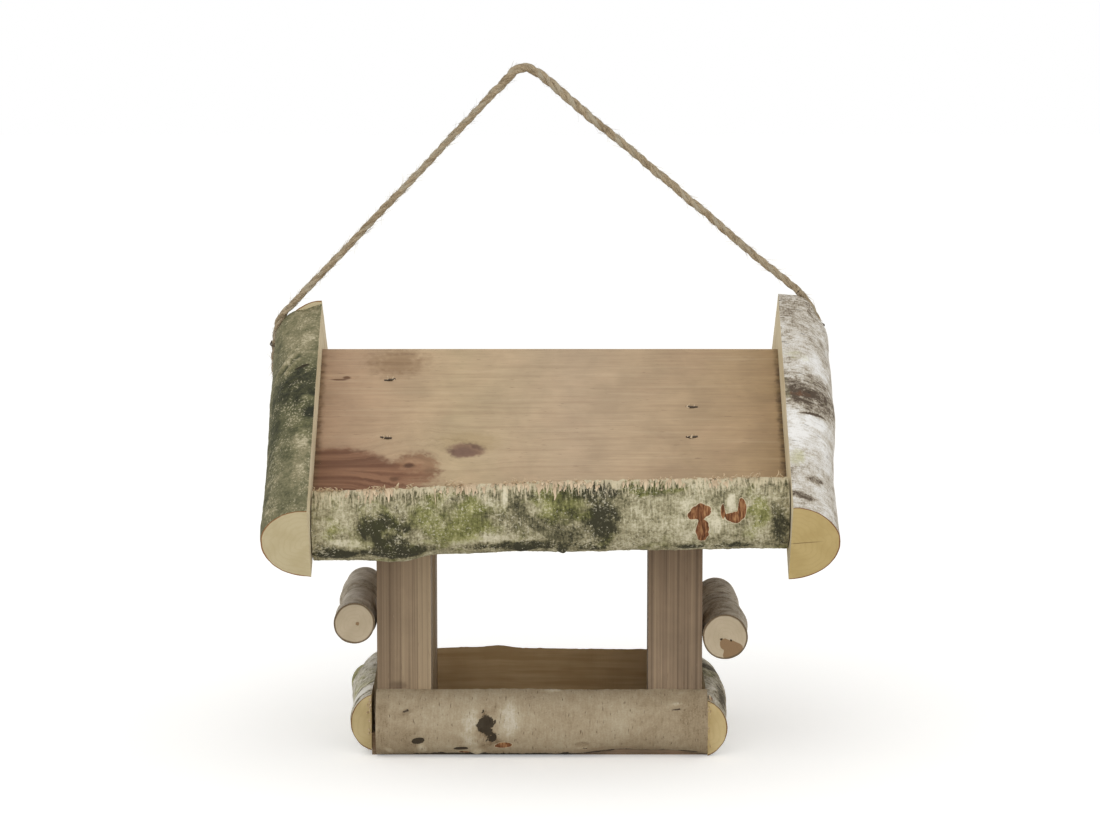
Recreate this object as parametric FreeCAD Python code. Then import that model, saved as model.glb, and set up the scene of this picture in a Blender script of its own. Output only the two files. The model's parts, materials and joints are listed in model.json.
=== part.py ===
import FreeCAD, Part
import math
import os

# A hanging bird table, nailed up from split birch logs, planed roof boards and square posts.
# All sizes are millimetres. X runs along the ridge, Y from front to back, Z upwards.
# The origin is under the middle of the roof, level with the underside of the floor board.

# Roof boards
ROOF_SLOPE = 36.0
ROOF_BOARD_LENGTH = 249.6
ROOF_BOARD_WIDTH = 118.0
ROOF_BOARD_THICKNESS = 14.0

# Floor board and the posts that stand on it
FLOOR_LENGTH = 181.4
FLOOR_WIDTH = 107.2
FLOOR_THICKNESS = 12.0
BASE_OFFSET = -5.6
POST_WIDTH = 29.0
REAR_RIGHT_POST_WIDTH = 25.6
POST_DEPTH = 29.0
POST_INSET = 3.1
POST_HEIGHT = 167.5

# Flats round a whole log, a perch and the twine
LOG_SIDES = 32
PERCH_SIDES = 20
TWINE_SIDES = 8

# Split logs nailed round the floor board as a tray
TRAY_LOG_RADIUS = 18.4
TRAY_LOG_DEPTH = 15.0
TRAY_LOG_CENTRE = 18.1
TRAY_LOG_END_GAP = 0.4
SIDE_LOG_RADIUS = 16.3
SIDE_LOG_DEPTH = 11.2
SIDE_LOG_OVERHANG = 3.4
LEFT_LOG_CENTRE = 18.6
RIGHT_LOG_CENTRE = 15.2

# Split logs that cap the ends of the roof boards, one pair at each gable
GABLE_LOG_RADIUS = 25.0
GABLE_LOG_DEPTH = 25.2
GABLE_LOG_CENTRE = -1.5
GABLE_LOG_OVERHANG = 29.0

# Split logs along the lower edges of the roof
EAVE_LOG_RADIUS = 21.6
EAVE_LOG_DEPTH = 21.6
EAVE_LOG_CENTRE = -7.8
EAVE_LOG_END_GAP = 0.6
FRONT_EAVE_TILT = 2.4
REAR_EAVE_TILT = -0.8

# Perches, round branches nailed to the outer sides of the posts
LEFT_PERCH_RADIUS = 10.6
LEFT_PERCH_HEIGHT = 72.4
RIGHT_PERCH_RADIUS = 11.6
RIGHT_PERCH_HEIGHT = 65.4
PERCH_OVERHANG = 1.4
PERCH_CLEARANCE = 0.2

# Staples and brads, both cut from square wire
STAPLE_CROWN = 6.4
STAPLE_WIRE = 1.0
STAPLE_POINT = 1.2
BRAD_WIRE = 1.3
BRAD_HEAD = 2.2
BRAD_HEAD_HEIGHT = 0.8
BRAD_POINT = 1.6
TRAY_STAPLE_LEG = 22.0
ROOF_STAPLE_LEG = 24.0
TACK_STAPLE_LEG = 11.0
TWINE_STAPLE_LEG = 9.0
GABLE_BRAD_LENGTH = 44.0
EAVE_BRAD_LENGTH = 40.0
SIDE_BRAD_LENGTH = 28.0
PERCH_BRAD_LENGTH = 36.0
FLOOR_BRAD_LENGTH = 32.0

# Twine
TWINE_DIAMETER = 4.0
TWINE_STAPLE_ROOM = 0.4
TWINE_BREAK = 0.4
CURVE_SHARE = 0.45

# The free loop, from the left gable over the point it hangs from to the right gable
LOOP_ROUTE = [
    (-143.2, 0.0, 237.2),
    (-32.5, 0.0, 353.0),
    (-14.2, 0.0, 371.8),
    (6.6, 0.0, 356.0),
    (50.0, 0.0, 319.6),
    (104.0, 0.0, 273.1),
    (135.6, 0.0, 246.8),
]
# The end that passes over the ridge and is stapled to the back of the left gable
LEFT_END_ROUTE = [
    (-143.2, 0.0, 237.2),
    (-148.4, 1.0, 231.4),
    (-150.4, 4.4, 224.6),
    (-151.4, 8.6, 216.6),
    (-152.0, 13.0, 208.4),
    (-152.2, 17.0, 199.8),
]
# The end that goes the same way behind the right gable
RIGHT_END_ROUTE = [
    (135.6, 0.0, 246.8),
    (142.6, 0.0, 240.9),
    (146.0, 3.4, 234.6),
    (148.4, 8.4, 226.8),
    (150.6, 13.0, 218.0),
    (151.8, 16.8, 208.6),
]

# Staples in the roof boards: the post below (-1 left, 1 right), along and down from its middle, turned
FRONT_ROOF_STAPLES = [(-1, -8.9, 21.3, 8.0), (1, 8.2, 20.6, -4.0), (1, 8.9, -2.6, 6.0)]
FRONT_ROOF_TACKS = [(-1, -8.3, -23.9, -12.0)]
REAR_ROOF_STAPLES = [(-1, -5.8, 17.7, 5.0), (-1, -1.3, -1.3, -9.0), (1, 3.5, 18.7, 10.0), (1, 1.5, -2.3, -3.0)]

# Staples in the tray logs: the post behind, or 0 for the floor board, along from its middle, height, turned
FRONT_TRAY_STAPLES = [(-1, -0.3, 26.0, 24.0), (1, -0.7, 27.0, 8.0), (0, 22.4, 6.0, -3.0)]
REAR_TRAY_STAPLES = [(-1, 2.7, 25.0, -6.0), (1, 2.5, 26.5, 15.0), (0, -2.4, 6.5, 4.0)]

# Brads, measured in from the ends and edges of the boards that they enter
GABLE_BRAD_FROM_RIDGE = 38.0
GABLE_BRAD_FROM_EAVE = 26.0
EAVE_BRAD_INSET = 30.0
SIDE_BRAD_INSET = 20.0

# Values that follow from those above
SLOPE = math.radians(ROOF_SLOPE)
FLOOR_LEFT = BASE_OFFSET - FLOOR_LENGTH / 2
FLOOR_RIGHT = BASE_OFFSET + FLOOR_LENGTH / 2
POST_OUTER_Y = FLOOR_WIDTH / 2
POST_INNER_Y = POST_OUTER_Y - POST_DEPTH
ROOF_UNDERSIDE = FLOOR_THICKNESS + POST_HEIGHT + POST_INNER_Y * math.tan(SLOPE)
RIDGE_HEIGHT = ROOF_UNDERSIDE + ROOF_BOARD_THICKNESS / math.cos(SLOPE)
GABLE_FACE = ROOF_BOARD_LENGTH / 2
POST_LEFT_FACE = FLOOR_LEFT + POST_INSET
POST_RIGHT_FACE = FLOOR_RIGHT - POST_INSET
POST_MIDDLES = {-1: POST_LEFT_FACE + POST_WIDTH / 2, 0: BASE_OFFSET, 1: POST_RIGHT_FACE - POST_WIDTH / 2}
POST_MIDDLE_Y = (POST_INNER_Y + POST_OUTER_Y) / 2
BEYOND = 400.0


def vector(x, y, z):
    return FreeCAD.Vector(x, y, z)


class Seat:
    """A flat place to build on, with directions along it, out of it and up it."""

    def __init__(self, origin, along, out, up):
        self.origin = origin
        self.along = along
        self.out = out
        self.up = up

    def at(self, along, out, up):
        return self.origin + self.along * along + self.out * out + self.up * up

    def moved(self, along, out, up, turn=0.0):
        """The same seat at another place, turned in its own plane by some degrees."""
        angle = math.radians(turn)
        new_along = self.along * math.cos(angle) + self.up * math.sin(angle)
        new_up = self.up * math.cos(angle) - self.along * math.sin(angle)
        return Seat(self.at(along, out, up), new_along, self.out, new_up)


def prism(seat, outline, out_from, out_to):
    """A solid with a straight-sided outline in the seat's plane, between two distances out of it."""
    corners = [seat.at(along, out_from, up) for along, up in outline]
    face = Part.Face(Part.makePolygon(corners + corners[:1]))
    return face.extrude(seat.out * (out_to - out_from))


def block(seat, along, out, up):
    """A square block between two distances along, out of and up the seat."""
    outline = [(along[0], up[0]), (along[1], up[0]), (along[1], up[1]), (along[0], up[1])]
    return prism(seat, outline, out[0], out[1])


def round_section(centre, first, second, radius, sides):
    """A ring of equal flats about a centre, in the plane of two directions."""
    corners = []
    for corner in range(sides):
        angle = 2 * math.pi * corner / sides
        corners.append(centre + first * (radius * math.cos(angle)) + second * (radius * math.sin(angle)))
    return Part.makePolygon(corners + corners[:1])


def branch(seat, start, end, radius, out, up, growth, sides):
    """A natural round branch. growth lists its share of the length, swelling and drift out and up."""
    sections = []
    for share, swelling, drift_out, drift_up in growth:
        centre = seat.at(start + (end - start) * share, out + drift_out, up + drift_up)
        sections.append(round_section(centre, seat.out, seat.up, radius + swelling, sides))
    return Part.makeLoft(sections, True, True)


def split_log(seat, start, end, radius, depth, up, growth):
    """A branch sawn lengthways on the seat's plane and square across both ends."""
    whole = branch(seat, start, end, radius, depth - radius, up, growth, LOG_SIDES)
    kept = block(seat, (start, end), (0.0, BEYOND), (-BEYOND, BEYOND))
    return whole.common(kept)


def staple(seat, leg):
    """A wire staple driven in until its crown is level with the seat's origin."""
    half = STAPLE_CROWN / 2
    outline = [
        (-half, 0.0),
        (half, 0.0),
        (half, -leg),
        (half - STAPLE_WIRE, -leg + STAPLE_POINT),
        (half - STAPLE_WIRE, -STAPLE_WIRE),
        (STAPLE_WIRE - half, -STAPLE_WIRE),
        (STAPLE_WIRE - half, -leg + STAPLE_POINT),
        (-half, -leg),
    ]
    crown_plane = Seat(seat.origin, seat.along, seat.up, seat.out)
    return prism(crown_plane, outline, -STAPLE_WIRE / 2, STAPLE_WIRE / 2)


def brad(seat, length):
    """A headed brad driven in until its head is level with the seat's origin."""
    head = BRAD_HEAD / 2
    shank = BRAD_WIRE / 2
    outline = [
        (-head, 0.0),
        (head, 0.0),
        (head, -BRAD_HEAD_HEIGHT),
        (shank, -BRAD_HEAD_HEIGHT),
        (shank, BRAD_POINT - length),
        (0.0, -length),
        (-shank, BRAD_POINT - length),
        (-shank, -BRAD_HEAD_HEIGHT),
        (-head, -BRAD_HEAD_HEIGHT),
    ]
    head_plane = Seat(seat.origin, seat.along, seat.up, seat.out)
    return prism(head_plane, outline, -BRAD_WIRE / 2, BRAD_WIRE / 2)


def bored_for(wood, fasteners):
    """The wood with the holes that its fasteners have made."""
    near = [fastener for fastener in fasteners if fastener.BoundBox.intersect(wood.BoundBox)]
    for fastener in near:
        wood = wood.cut(fastener)
    return wood


def surface_depth(radius, depth, height):
    """How far a split log stands out of its seat at a height from its own middle."""
    return depth - radius + math.sqrt(radius**2 - height**2)


def bend_radius(before, corner, after):
    """The radius of the arc that rounds one corner of a twine's route."""
    half_turn = (corner - before).getAngle(after - corner) / 2
    shorter = min((corner - before).Length, (after - corner).Length)
    return CURVE_SHARE * shorter / math.tan(half_turn)


def twine_tip(end, outward):
    """The rounded tip that closes a trimmed end of twine."""
    radius = TWINE_DIAMETER / 2
    first = vector(0.0, 1.0, 0.0)
    second = outward.cross(first)
    rings = []
    for degrees in (0, 40, 75):
        angle = math.radians(degrees)
        centre = end + outward * (radius * math.sin(angle))
        rings.append(round_section(centre, first, second, radius * math.cos(angle), TWINE_SIDES))
    return Part.makeLoft(rings, True, True)


def twine_tube(route, name, trimmed_start, trimmed_end):
    """Twine along straight runs and tangent arcs, with a rounded tip where an end is trimmed back."""
    radius = TWINE_DIAMETER / 2
    points = [vector(*point) for point in route]
    first_run = (points[1] - points[0]).normalize()
    last_run = (points[-1] - points[-2]).normalize()
    trim = radius + TWINE_BREAK
    start = points[0] + first_run * (trim if trimmed_start else 0.0)
    end = points[-1] - last_run * (trim if trimmed_end else 0.0)
    edges = []
    here = start
    radii = []
    for before, corner, after in zip(points, points[1:], points[2:]):
        backward = (before - corner).normalize()
        forward = (after - corner).normalize()
        radius_here = bend_radius(before, corner, after)
        reach = CURVE_SHARE * min((corner - before).Length, (after - corner).Length)
        bisector = (backward + forward).normalize()
        turn = math.pi - backward.getAngle(forward)
        sink = radius_here * (1 / math.cos(turn / 2) - 1)
        arc_start = corner + backward * reach
        arc_end = corner + forward * reach
        edges.append(Part.LineSegment(here, arc_start).toShape())
        edges.append(Part.Arc(arc_start, corner + bisector * sink, arc_end).toShape())
        here = arc_end
        radii.append(round(radius_here, 1))
    edges.append(Part.LineSegment(here, end).toShape())
    path = Part.Wire(edges)
    across = vector(0.0, 1.0, 0.0)
    section = round_section(start, across, first_run.cross(across), radius, TWINE_SIDES)
    tube = path.makePipeShell([section], True, False)
    exact = Part.Face(section).Area * path.Length
    print(name, "bend radii", radii, "length", round(path.Length, 1), "volume share", round(tube.Volume / exact, 4))
    if trimmed_start:
        tube = tube.fuse(twine_tip(start, first_run * -1))
    if trimmed_end:
        tube = tube.fuse(twine_tip(end, last_run))
    return tube


def one_solid(shape):
    """The single solid in a shape that a cut or a join has wrapped up."""
    solids = shape.Solids
    if len(solids) != 1:
        raise ValueError("expected one solid, found " + str(len(solids)))
    return solids[0]


def roof_seat(side, across):
    """The upper face of a roof board. side is -1 at the front, across is the direction out of it."""
    down = vector(0.0, side * math.cos(SLOPE), -math.sin(SLOPE))
    square = vector(0.0, side * math.sin(SLOPE), math.cos(SLOPE))
    return Seat(vector(0.0, 0.0, RIDGE_HEIGHT), down, across, square)


def roof_board(side):
    """A planed board, cut plumb along the ridge and square along its lower edge."""
    seat = roof_seat(side, vector(1.0, 0.0, 0.0))
    outline = [
        (0.0, 0.0),
        (ROOF_BOARD_WIDTH, 0.0),
        (ROOF_BOARD_WIDTH, -ROOF_BOARD_THICKNESS),
        (ROOF_BOARD_THICKNESS * math.tan(SLOPE), -ROOF_BOARD_THICKNESS),
    ]
    return prism(seat, outline, -ROOF_BOARD_LENGTH / 2, ROOF_BOARD_LENGTH / 2)


def roof_fasteners(side, places, leg):
    """Staples through a roof board, placed about the middles of the posts below it."""
    seat = roof_seat(side, vector(1.0, 0.0, 0.0))
    top = Seat(seat.origin, seat.out, seat.up, seat.along)
    staples = []
    for post_side, along, down, turn in places:
        middle_down = POST_MIDDLE_Y / math.cos(SLOPE)
        staples.append(staple(top.moved(POST_MIDDLES[post_side] + along, 0.0, middle_down + down, turn), leg))
    return staples


def post(left_face, side, width):
    """A square post, its top cut to the slope of the roof board that lies on it."""
    seat = Seat(vector(0.0, 0.0, 0.0), vector(0.0, side, 0.0), vector(1.0, 0.0, 0.0), vector(0.0, 0.0, 1.0))
    short_side = ROOF_UNDERSIDE - POST_OUTER_Y * math.tan(SLOPE)
    tall_side = ROOF_UNDERSIDE - POST_INNER_Y * math.tan(SLOPE)
    outline = [
        (POST_INNER_Y, FLOOR_THICKNESS),
        (POST_OUTER_Y, FLOOR_THICKNESS),
        (POST_OUTER_Y, short_side),
        (POST_INNER_Y, tall_side),
    ]
    return prism(seat, outline, left_face, left_face + width)


def floor_fasteners():
    """Brads driven up through the floor board, one into the foot of each post."""
    brads = []
    for post_side in (-1, 1):
        for side in (-1, 1):
            origin = vector(POST_MIDDLES[post_side], side * POST_MIDDLE_Y, 0.0)
            under = Seat(origin, vector(1.0, 0.0, 0.0), vector(0.0, 0.0, -1.0), vector(0.0, 1.0, 0.0))
            brads.append(brad(under, FLOOR_BRAD_LENGTH))
    return brads


def tray_seat(side):
    """The front or back edge of the floor board, in line with the outer faces of the posts."""
    origin = vector(0.0, side * POST_OUTER_Y, 0.0)
    return Seat(origin, vector(1.0, 0.0, 0.0), vector(0.0, side, 0.0), vector(0.0, 0.0, 1.0))


def tray_log(side, growth):
    """A split log as long as the row of posts, closing the tray at the front or the back."""
    start = POST_LEFT_FACE - TRAY_LOG_END_GAP
    end = FLOOR_RIGHT - TRAY_LOG_END_GAP
    seat = tray_seat(side)
    log = split_log(seat, start, end, TRAY_LOG_RADIUS, TRAY_LOG_DEPTH, TRAY_LOG_CENTRE, growth)
    return log.common(block(seat, (start, end), (0.0, BEYOND), (0.0, BEYOND)))


def tray_fasteners(side, places):
    """Staples through a tray log, placed about the middles of the posts or the floor board."""
    seat = tray_seat(side)
    staples = []
    for post_side, along, up, turn in places:
        out = surface_depth(TRAY_LOG_RADIUS, TRAY_LOG_DEPTH, up - TRAY_LOG_CENTRE) - STAPLE_WIRE
        staples.append(staple(seat.moved(POST_MIDDLES[post_side] + along, out, up, turn), TRAY_STAPLE_LEG))
    return staples


def side_seat(side):
    """The left or right end of the floor board."""
    face = FLOOR_LEFT if side < 0 else FLOOR_RIGHT
    return Seat(vector(face, 0.0, 0.0), vector(0.0, 1.0, 0.0), vector(side, 0.0, 0.0), vector(0.0, 0.0, 1.0))


def side_log(side, centre, growth):
    """A split log across one end of the tray, never lower than the floor board's underside."""
    half = FLOOR_WIDTH / 2 + SIDE_LOG_OVERHANG
    log = split_log(side_seat(side), -half, half, SIDE_LOG_RADIUS, SIDE_LOG_DEPTH, centre, growth)
    return log.common(block(side_seat(side), (-half, half), (0.0, BEYOND), (0.0, BEYOND)))


def side_fasteners(side, centre):
    """Brads through a side log into the end of the floor board."""
    up = FLOOR_THICKNESS / 2
    out = surface_depth(SIDE_LOG_RADIUS, SIDE_LOG_DEPTH, up - centre) - BRAD_HEAD_HEIGHT
    reach = FLOOR_WIDTH / 2 - SIDE_BRAD_INSET
    return [brad(side_seat(side).moved(place, out, up), SIDE_BRAD_LENGTH) for place in (-reach, 0.0, reach)]


def perch_seat(side):
    """The outer side of the posts at one end."""
    face = POST_LEFT_FACE if side < 0 else POST_RIGHT_FACE
    return Seat(vector(face, 0.0, 0.0), vector(0.0, 1.0, 0.0), vector(side, 0.0, 0.0), vector(0.0, 0.0, 1.0))


def perch(side, radius, height, growth):
    """A round branch laid against the posts, front to back, kept just clear of their faces."""
    half = FLOOR_WIDTH / 2 + PERCH_OVERHANG
    thickest = max(swelling - drift_out for share, swelling, drift_out, drift_up in growth)
    out = radius + thickest + PERCH_CLEARANCE
    return branch(perch_seat(side), -half, half, radius, out, height, growth, PERCH_SIDES)


def perch_fasteners(side, radius, height, growth):
    """Brads through a perch, one into the middle of each post."""
    thickest = max(swelling - drift_out for share, swelling, drift_out, drift_up in growth)
    out = 2 * radius + thickest + PERCH_CLEARANCE - BRAD_HEAD_HEIGHT
    seat = perch_seat(side)
    return [brad(seat.moved(place, out, height), PERCH_BRAD_LENGTH) for place in (-POST_MIDDLE_Y, POST_MIDDLE_Y)]


def gable_seat(side, end):
    """The end grain of a roof board. side is -1 at the front, end is -1 at the left."""
    seat = roof_seat(side, vector(end, 0.0, 0.0))
    return Seat(seat.at(0.0, GABLE_FACE, 0.0), seat.along, seat.out, seat.up)


def gable_log(side, end, growth):
    """A split log down one sloping end of the roof, cut plumb where it meets its neighbour."""
    seat = gable_seat(side, end)
    lower_end = ROOF_BOARD_WIDTH + GABLE_LOG_OVERHANG
    upper_end = -2 * GABLE_LOG_RADIUS * math.tan(SLOPE)
    log = split_log(seat, upper_end, lower_end, GABLE_LOG_RADIUS, GABLE_LOG_DEPTH, GABLE_LOG_CENTRE, growth)
    ridge = Seat(vector(0.0, 0.0, 0.0), vector(0.0, side, 0.0), vector(1.0, 0.0, 0.0), vector(0.0, 0.0, 1.0))
    return log.common(block(ridge, (0.0, BEYOND), (-BEYOND, BEYOND), (-BEYOND, BEYOND)))


def gable_fasteners(side, end):
    """Brads through a gable log into the end grain of its roof board."""
    up = -ROOF_BOARD_THICKNESS / 2
    out = surface_depth(GABLE_LOG_RADIUS, GABLE_LOG_DEPTH, up - GABLE_LOG_CENTRE) - BRAD_HEAD_HEIGHT
    seat = gable_seat(side, end)
    places = (GABLE_BRAD_FROM_RIDGE, ROOF_BOARD_WIDTH - GABLE_BRAD_FROM_EAVE)
    return [brad(seat.moved(place, out, up), GABLE_BRAD_LENGTH) for place in places]


def eave_seat(side):
    """The square lower edge of a roof board."""
    seat = roof_seat(side, vector(1.0, 0.0, 0.0))
    return Seat(seat.at(ROOF_BOARD_WIDTH, 0.0, 0.0), seat.out, seat.along, seat.up)


def eave_log(side, tilt, growth):
    """A split log along a lower edge of the roof, nailed on a little out of level."""
    seat = eave_seat(side).moved(0.0, 0.0, EAVE_LOG_CENTRE, tilt)
    half = GABLE_FACE
    log = split_log(seat, -half, half, EAVE_LOG_RADIUS, EAVE_LOG_DEPTH, 0.0, growth)
    reach = GABLE_FACE - EAVE_LOG_END_GAP
    return log.common(block(eave_seat(side), (-reach, reach), (0.0, BEYOND), (-BEYOND, BEYOND)))


def eave_fasteners(side, tilt):
    """Brads through an eave log into the lower edge of its roof board."""
    up = -ROOF_BOARD_THICKNESS / 2
    reach = GABLE_FACE - EAVE_BRAD_INSET
    brads = []
    for place in (-reach, 0.0, reach):
        from_middle = up - EAVE_LOG_CENTRE - place * math.tan(math.radians(tilt))
        out = surface_depth(EAVE_LOG_RADIUS, EAVE_LOG_DEPTH, from_middle) - BRAD_HEAD_HEIGHT
        brads.append(brad(eave_seat(side).moved(place, out, up), EAVE_BRAD_LENGTH))
    return brads


def twine_staple(route, corner, outward):
    """A staple across the twine at one corner of its route, its legs in the wood on both sides."""
    before = vector(*route[corner - 1])
    here = vector(*route[corner])
    after = vector(*route[corner + 1])
    run = (after - before).normalize()
    out = (outward - run * outward.dot(run)).normalize()
    across = run.cross(out)
    lift = TWINE_DIAMETER / 2 + STAPLE_WIRE + TWINE_STAPLE_ROOM
    seat = Seat(here + out * lift, across, out, run)
    return staple(seat, TWINE_STAPLE_LEG)


# How each log grew: share of its length, swelling, drift out of the seat, drift up
FRONT_TRAY_GROWTH = [
    (-0.02, 0.0, 0.0, 0.0),
    (0.18, -0.3, 0.0, 0.2),
    (0.40, 0.1, 0.0, 0.1),
    (0.60, -0.2, 0.0, 0.0),
    (0.74, -1.5, 0.2, 1.4),
    (0.88, -1.4, 0.2, 1.3),
    (1.02, 0.0, 0.0, 0.0),
]
REAR_TRAY_GROWTH = [
    (-0.02, -0.2, 0.0, -0.2),
    (0.30, 0.3, 0.3, 0.8),
    (0.36, 0.9, 0.4, 1.2),
    (0.44, 0.1, 0.1, 0.4),
    (0.75, -0.4, 0.0, 0.2),
    (1.02, 0.0, 0.0, 0.0),
]
LEFT_SIDE_GROWTH = [
    (-0.02, -0.2, 0.0, 0.0),
    (0.15, 0.3, 0.2, 0.0),
    (0.32, -0.1, 0.2, 0.0),
    (0.48, 0.9, 0.6, 0.6),
    (0.60, 1.6, 1.4, 1.3),
    (0.72, 1.8, 1.6, 1.5),
    (0.85, 0.6, 0.6, 0.6),
    (1.02, 0.4, -0.2, 0.3),
]
RIGHT_SIDE_GROWTH = [
    (-0.02, 0.2, -0.8, 0.0),
    (0.18, 0.2, -0.8, 0.2),
    (0.40, 1.0, 0.0, 0.4),
    (0.60, 1.3, 0.8, 0.8),
    (0.80, 0.9, 0.6, 0.6),
    (1.02, 0.2, -0.4, 0.2),
]
FRONT_LEFT_GABLE_GROWTH = [
    (-0.02, -0.9, 0.3, -2.5),
    (0.15, -0.7, 0.4, -2.1),
    (0.22, 0.5, 1.1, -1.8),
    (0.32, 0.1, 0.9, -1.3),
    (0.45, 0.3, 0.7, -0.7),
    (0.53, 0.1, 0.6, -0.5),
    (0.61, -0.3, 0.2, -0.3),
    (0.82, -0.4, 0.3, -0.2),
    (0.95, 0.0, 0.5, -0.3),
    (1.02, -0.8, 0.6, -0.4),
]
FRONT_RIGHT_GABLE_GROWTH = [
    (-0.02, 0.9, 0.2, 0.1),
    (0.14, 1.0, 0.3, 0.1),
    (0.22, 1.3, 0.7, 0.2),
    (0.32, 1.6, 1.0, 0.3),
    (0.50, 1.6, 0.9, 0.2),
    (0.58, 1.2, 0.8, 0.1),
    (0.67, 0.6, -0.2, 0.0),
    (0.78, 0.5, -1.1, 0.2),
    (0.90, 1.0, -1.2, 0.2),
    (1.02, 1.9, -1.6, -0.3),
]
REAR_LEFT_GABLE_GROWTH = [
    (-0.02, -0.8, 0.3, -1.7),
    (0.25, -0.4, 0.2, -1.0),
    (0.55, -1.0, 0.0, 0.0),
    (0.80, -0.2, 0.2, 0.2),
    (1.02, 0.2, 0.0, 0.3),
]
REAR_RIGHT_GABLE_GROWTH = [
    (-0.02, 0.6, 0.0, 0.2),
    (0.30, 0.2, -0.4, 0.4),
    (0.50, 0.9, -0.2, 0.0),
    (0.78, 0.1, 0.0, -0.3),
    (1.02, 0.6, -0.4, 0.6),
]
FRONT_EAVE_GROWTH = [
    (-0.02, -0.5, 0.0, -0.4),
    (0.10, 0.1, 0.0, -0.8),
    (0.19, 0.9, 0.2, -1.2),
    (0.25, -1.2, 1.2, 1.4),
    (0.42, -1.3, 1.3, 2.1),
    (0.55, 0.0, 0.4, 1.1),
    (0.65, -0.5, 0.6, 1.2),
    (0.80, 0.2, 0.0, 0.1),
    (1.02, 0.4, 0.0, -0.6),
]
REAR_EAVE_GROWTH = [
    (-0.02, 0.3, 0.0, 0.0),
    (0.30, -0.2, 0.0, 0.4),
    (0.55, 0.4, 0.2, 0.0),
    (0.80, -0.3, 0.0, -0.3),
    (1.02, -0.6, 0.0, 0.2),
]
LEFT_PERCH_GROWTH = [
    (0.00, 0.4, 0.0, 0.0),
    (0.13, 0.3, 0.0, 0.1),
    (0.19, -1.2, -0.8, 0.5),
    (0.27, -0.4, -0.5, 0.6),
    (0.34, -0.8, -0.4, 0.5),
    (0.60, -0.2, -0.3, 0.1),
    (0.78, 1.2, -0.1, 0.3),
    (0.88, 0.4, 0.0, 0.0),
    (1.00, 0.2, 0.0, 0.2),
]
RIGHT_PERCH_GROWTH = [
    (0.00, 0.6, 0.2, -0.4),
    (0.10, 0.5, 0.3, -0.2),
    (0.25, 1.2, 0.8, 0.2),
    (0.45, 0.5, 0.1, 0.3),
    (0.56, -0.2, -0.2, 0.0),
    (0.80, 0.4, 0.0, 0.2),
    (1.00, 0.1, 0.0, 0.0),
]


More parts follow.
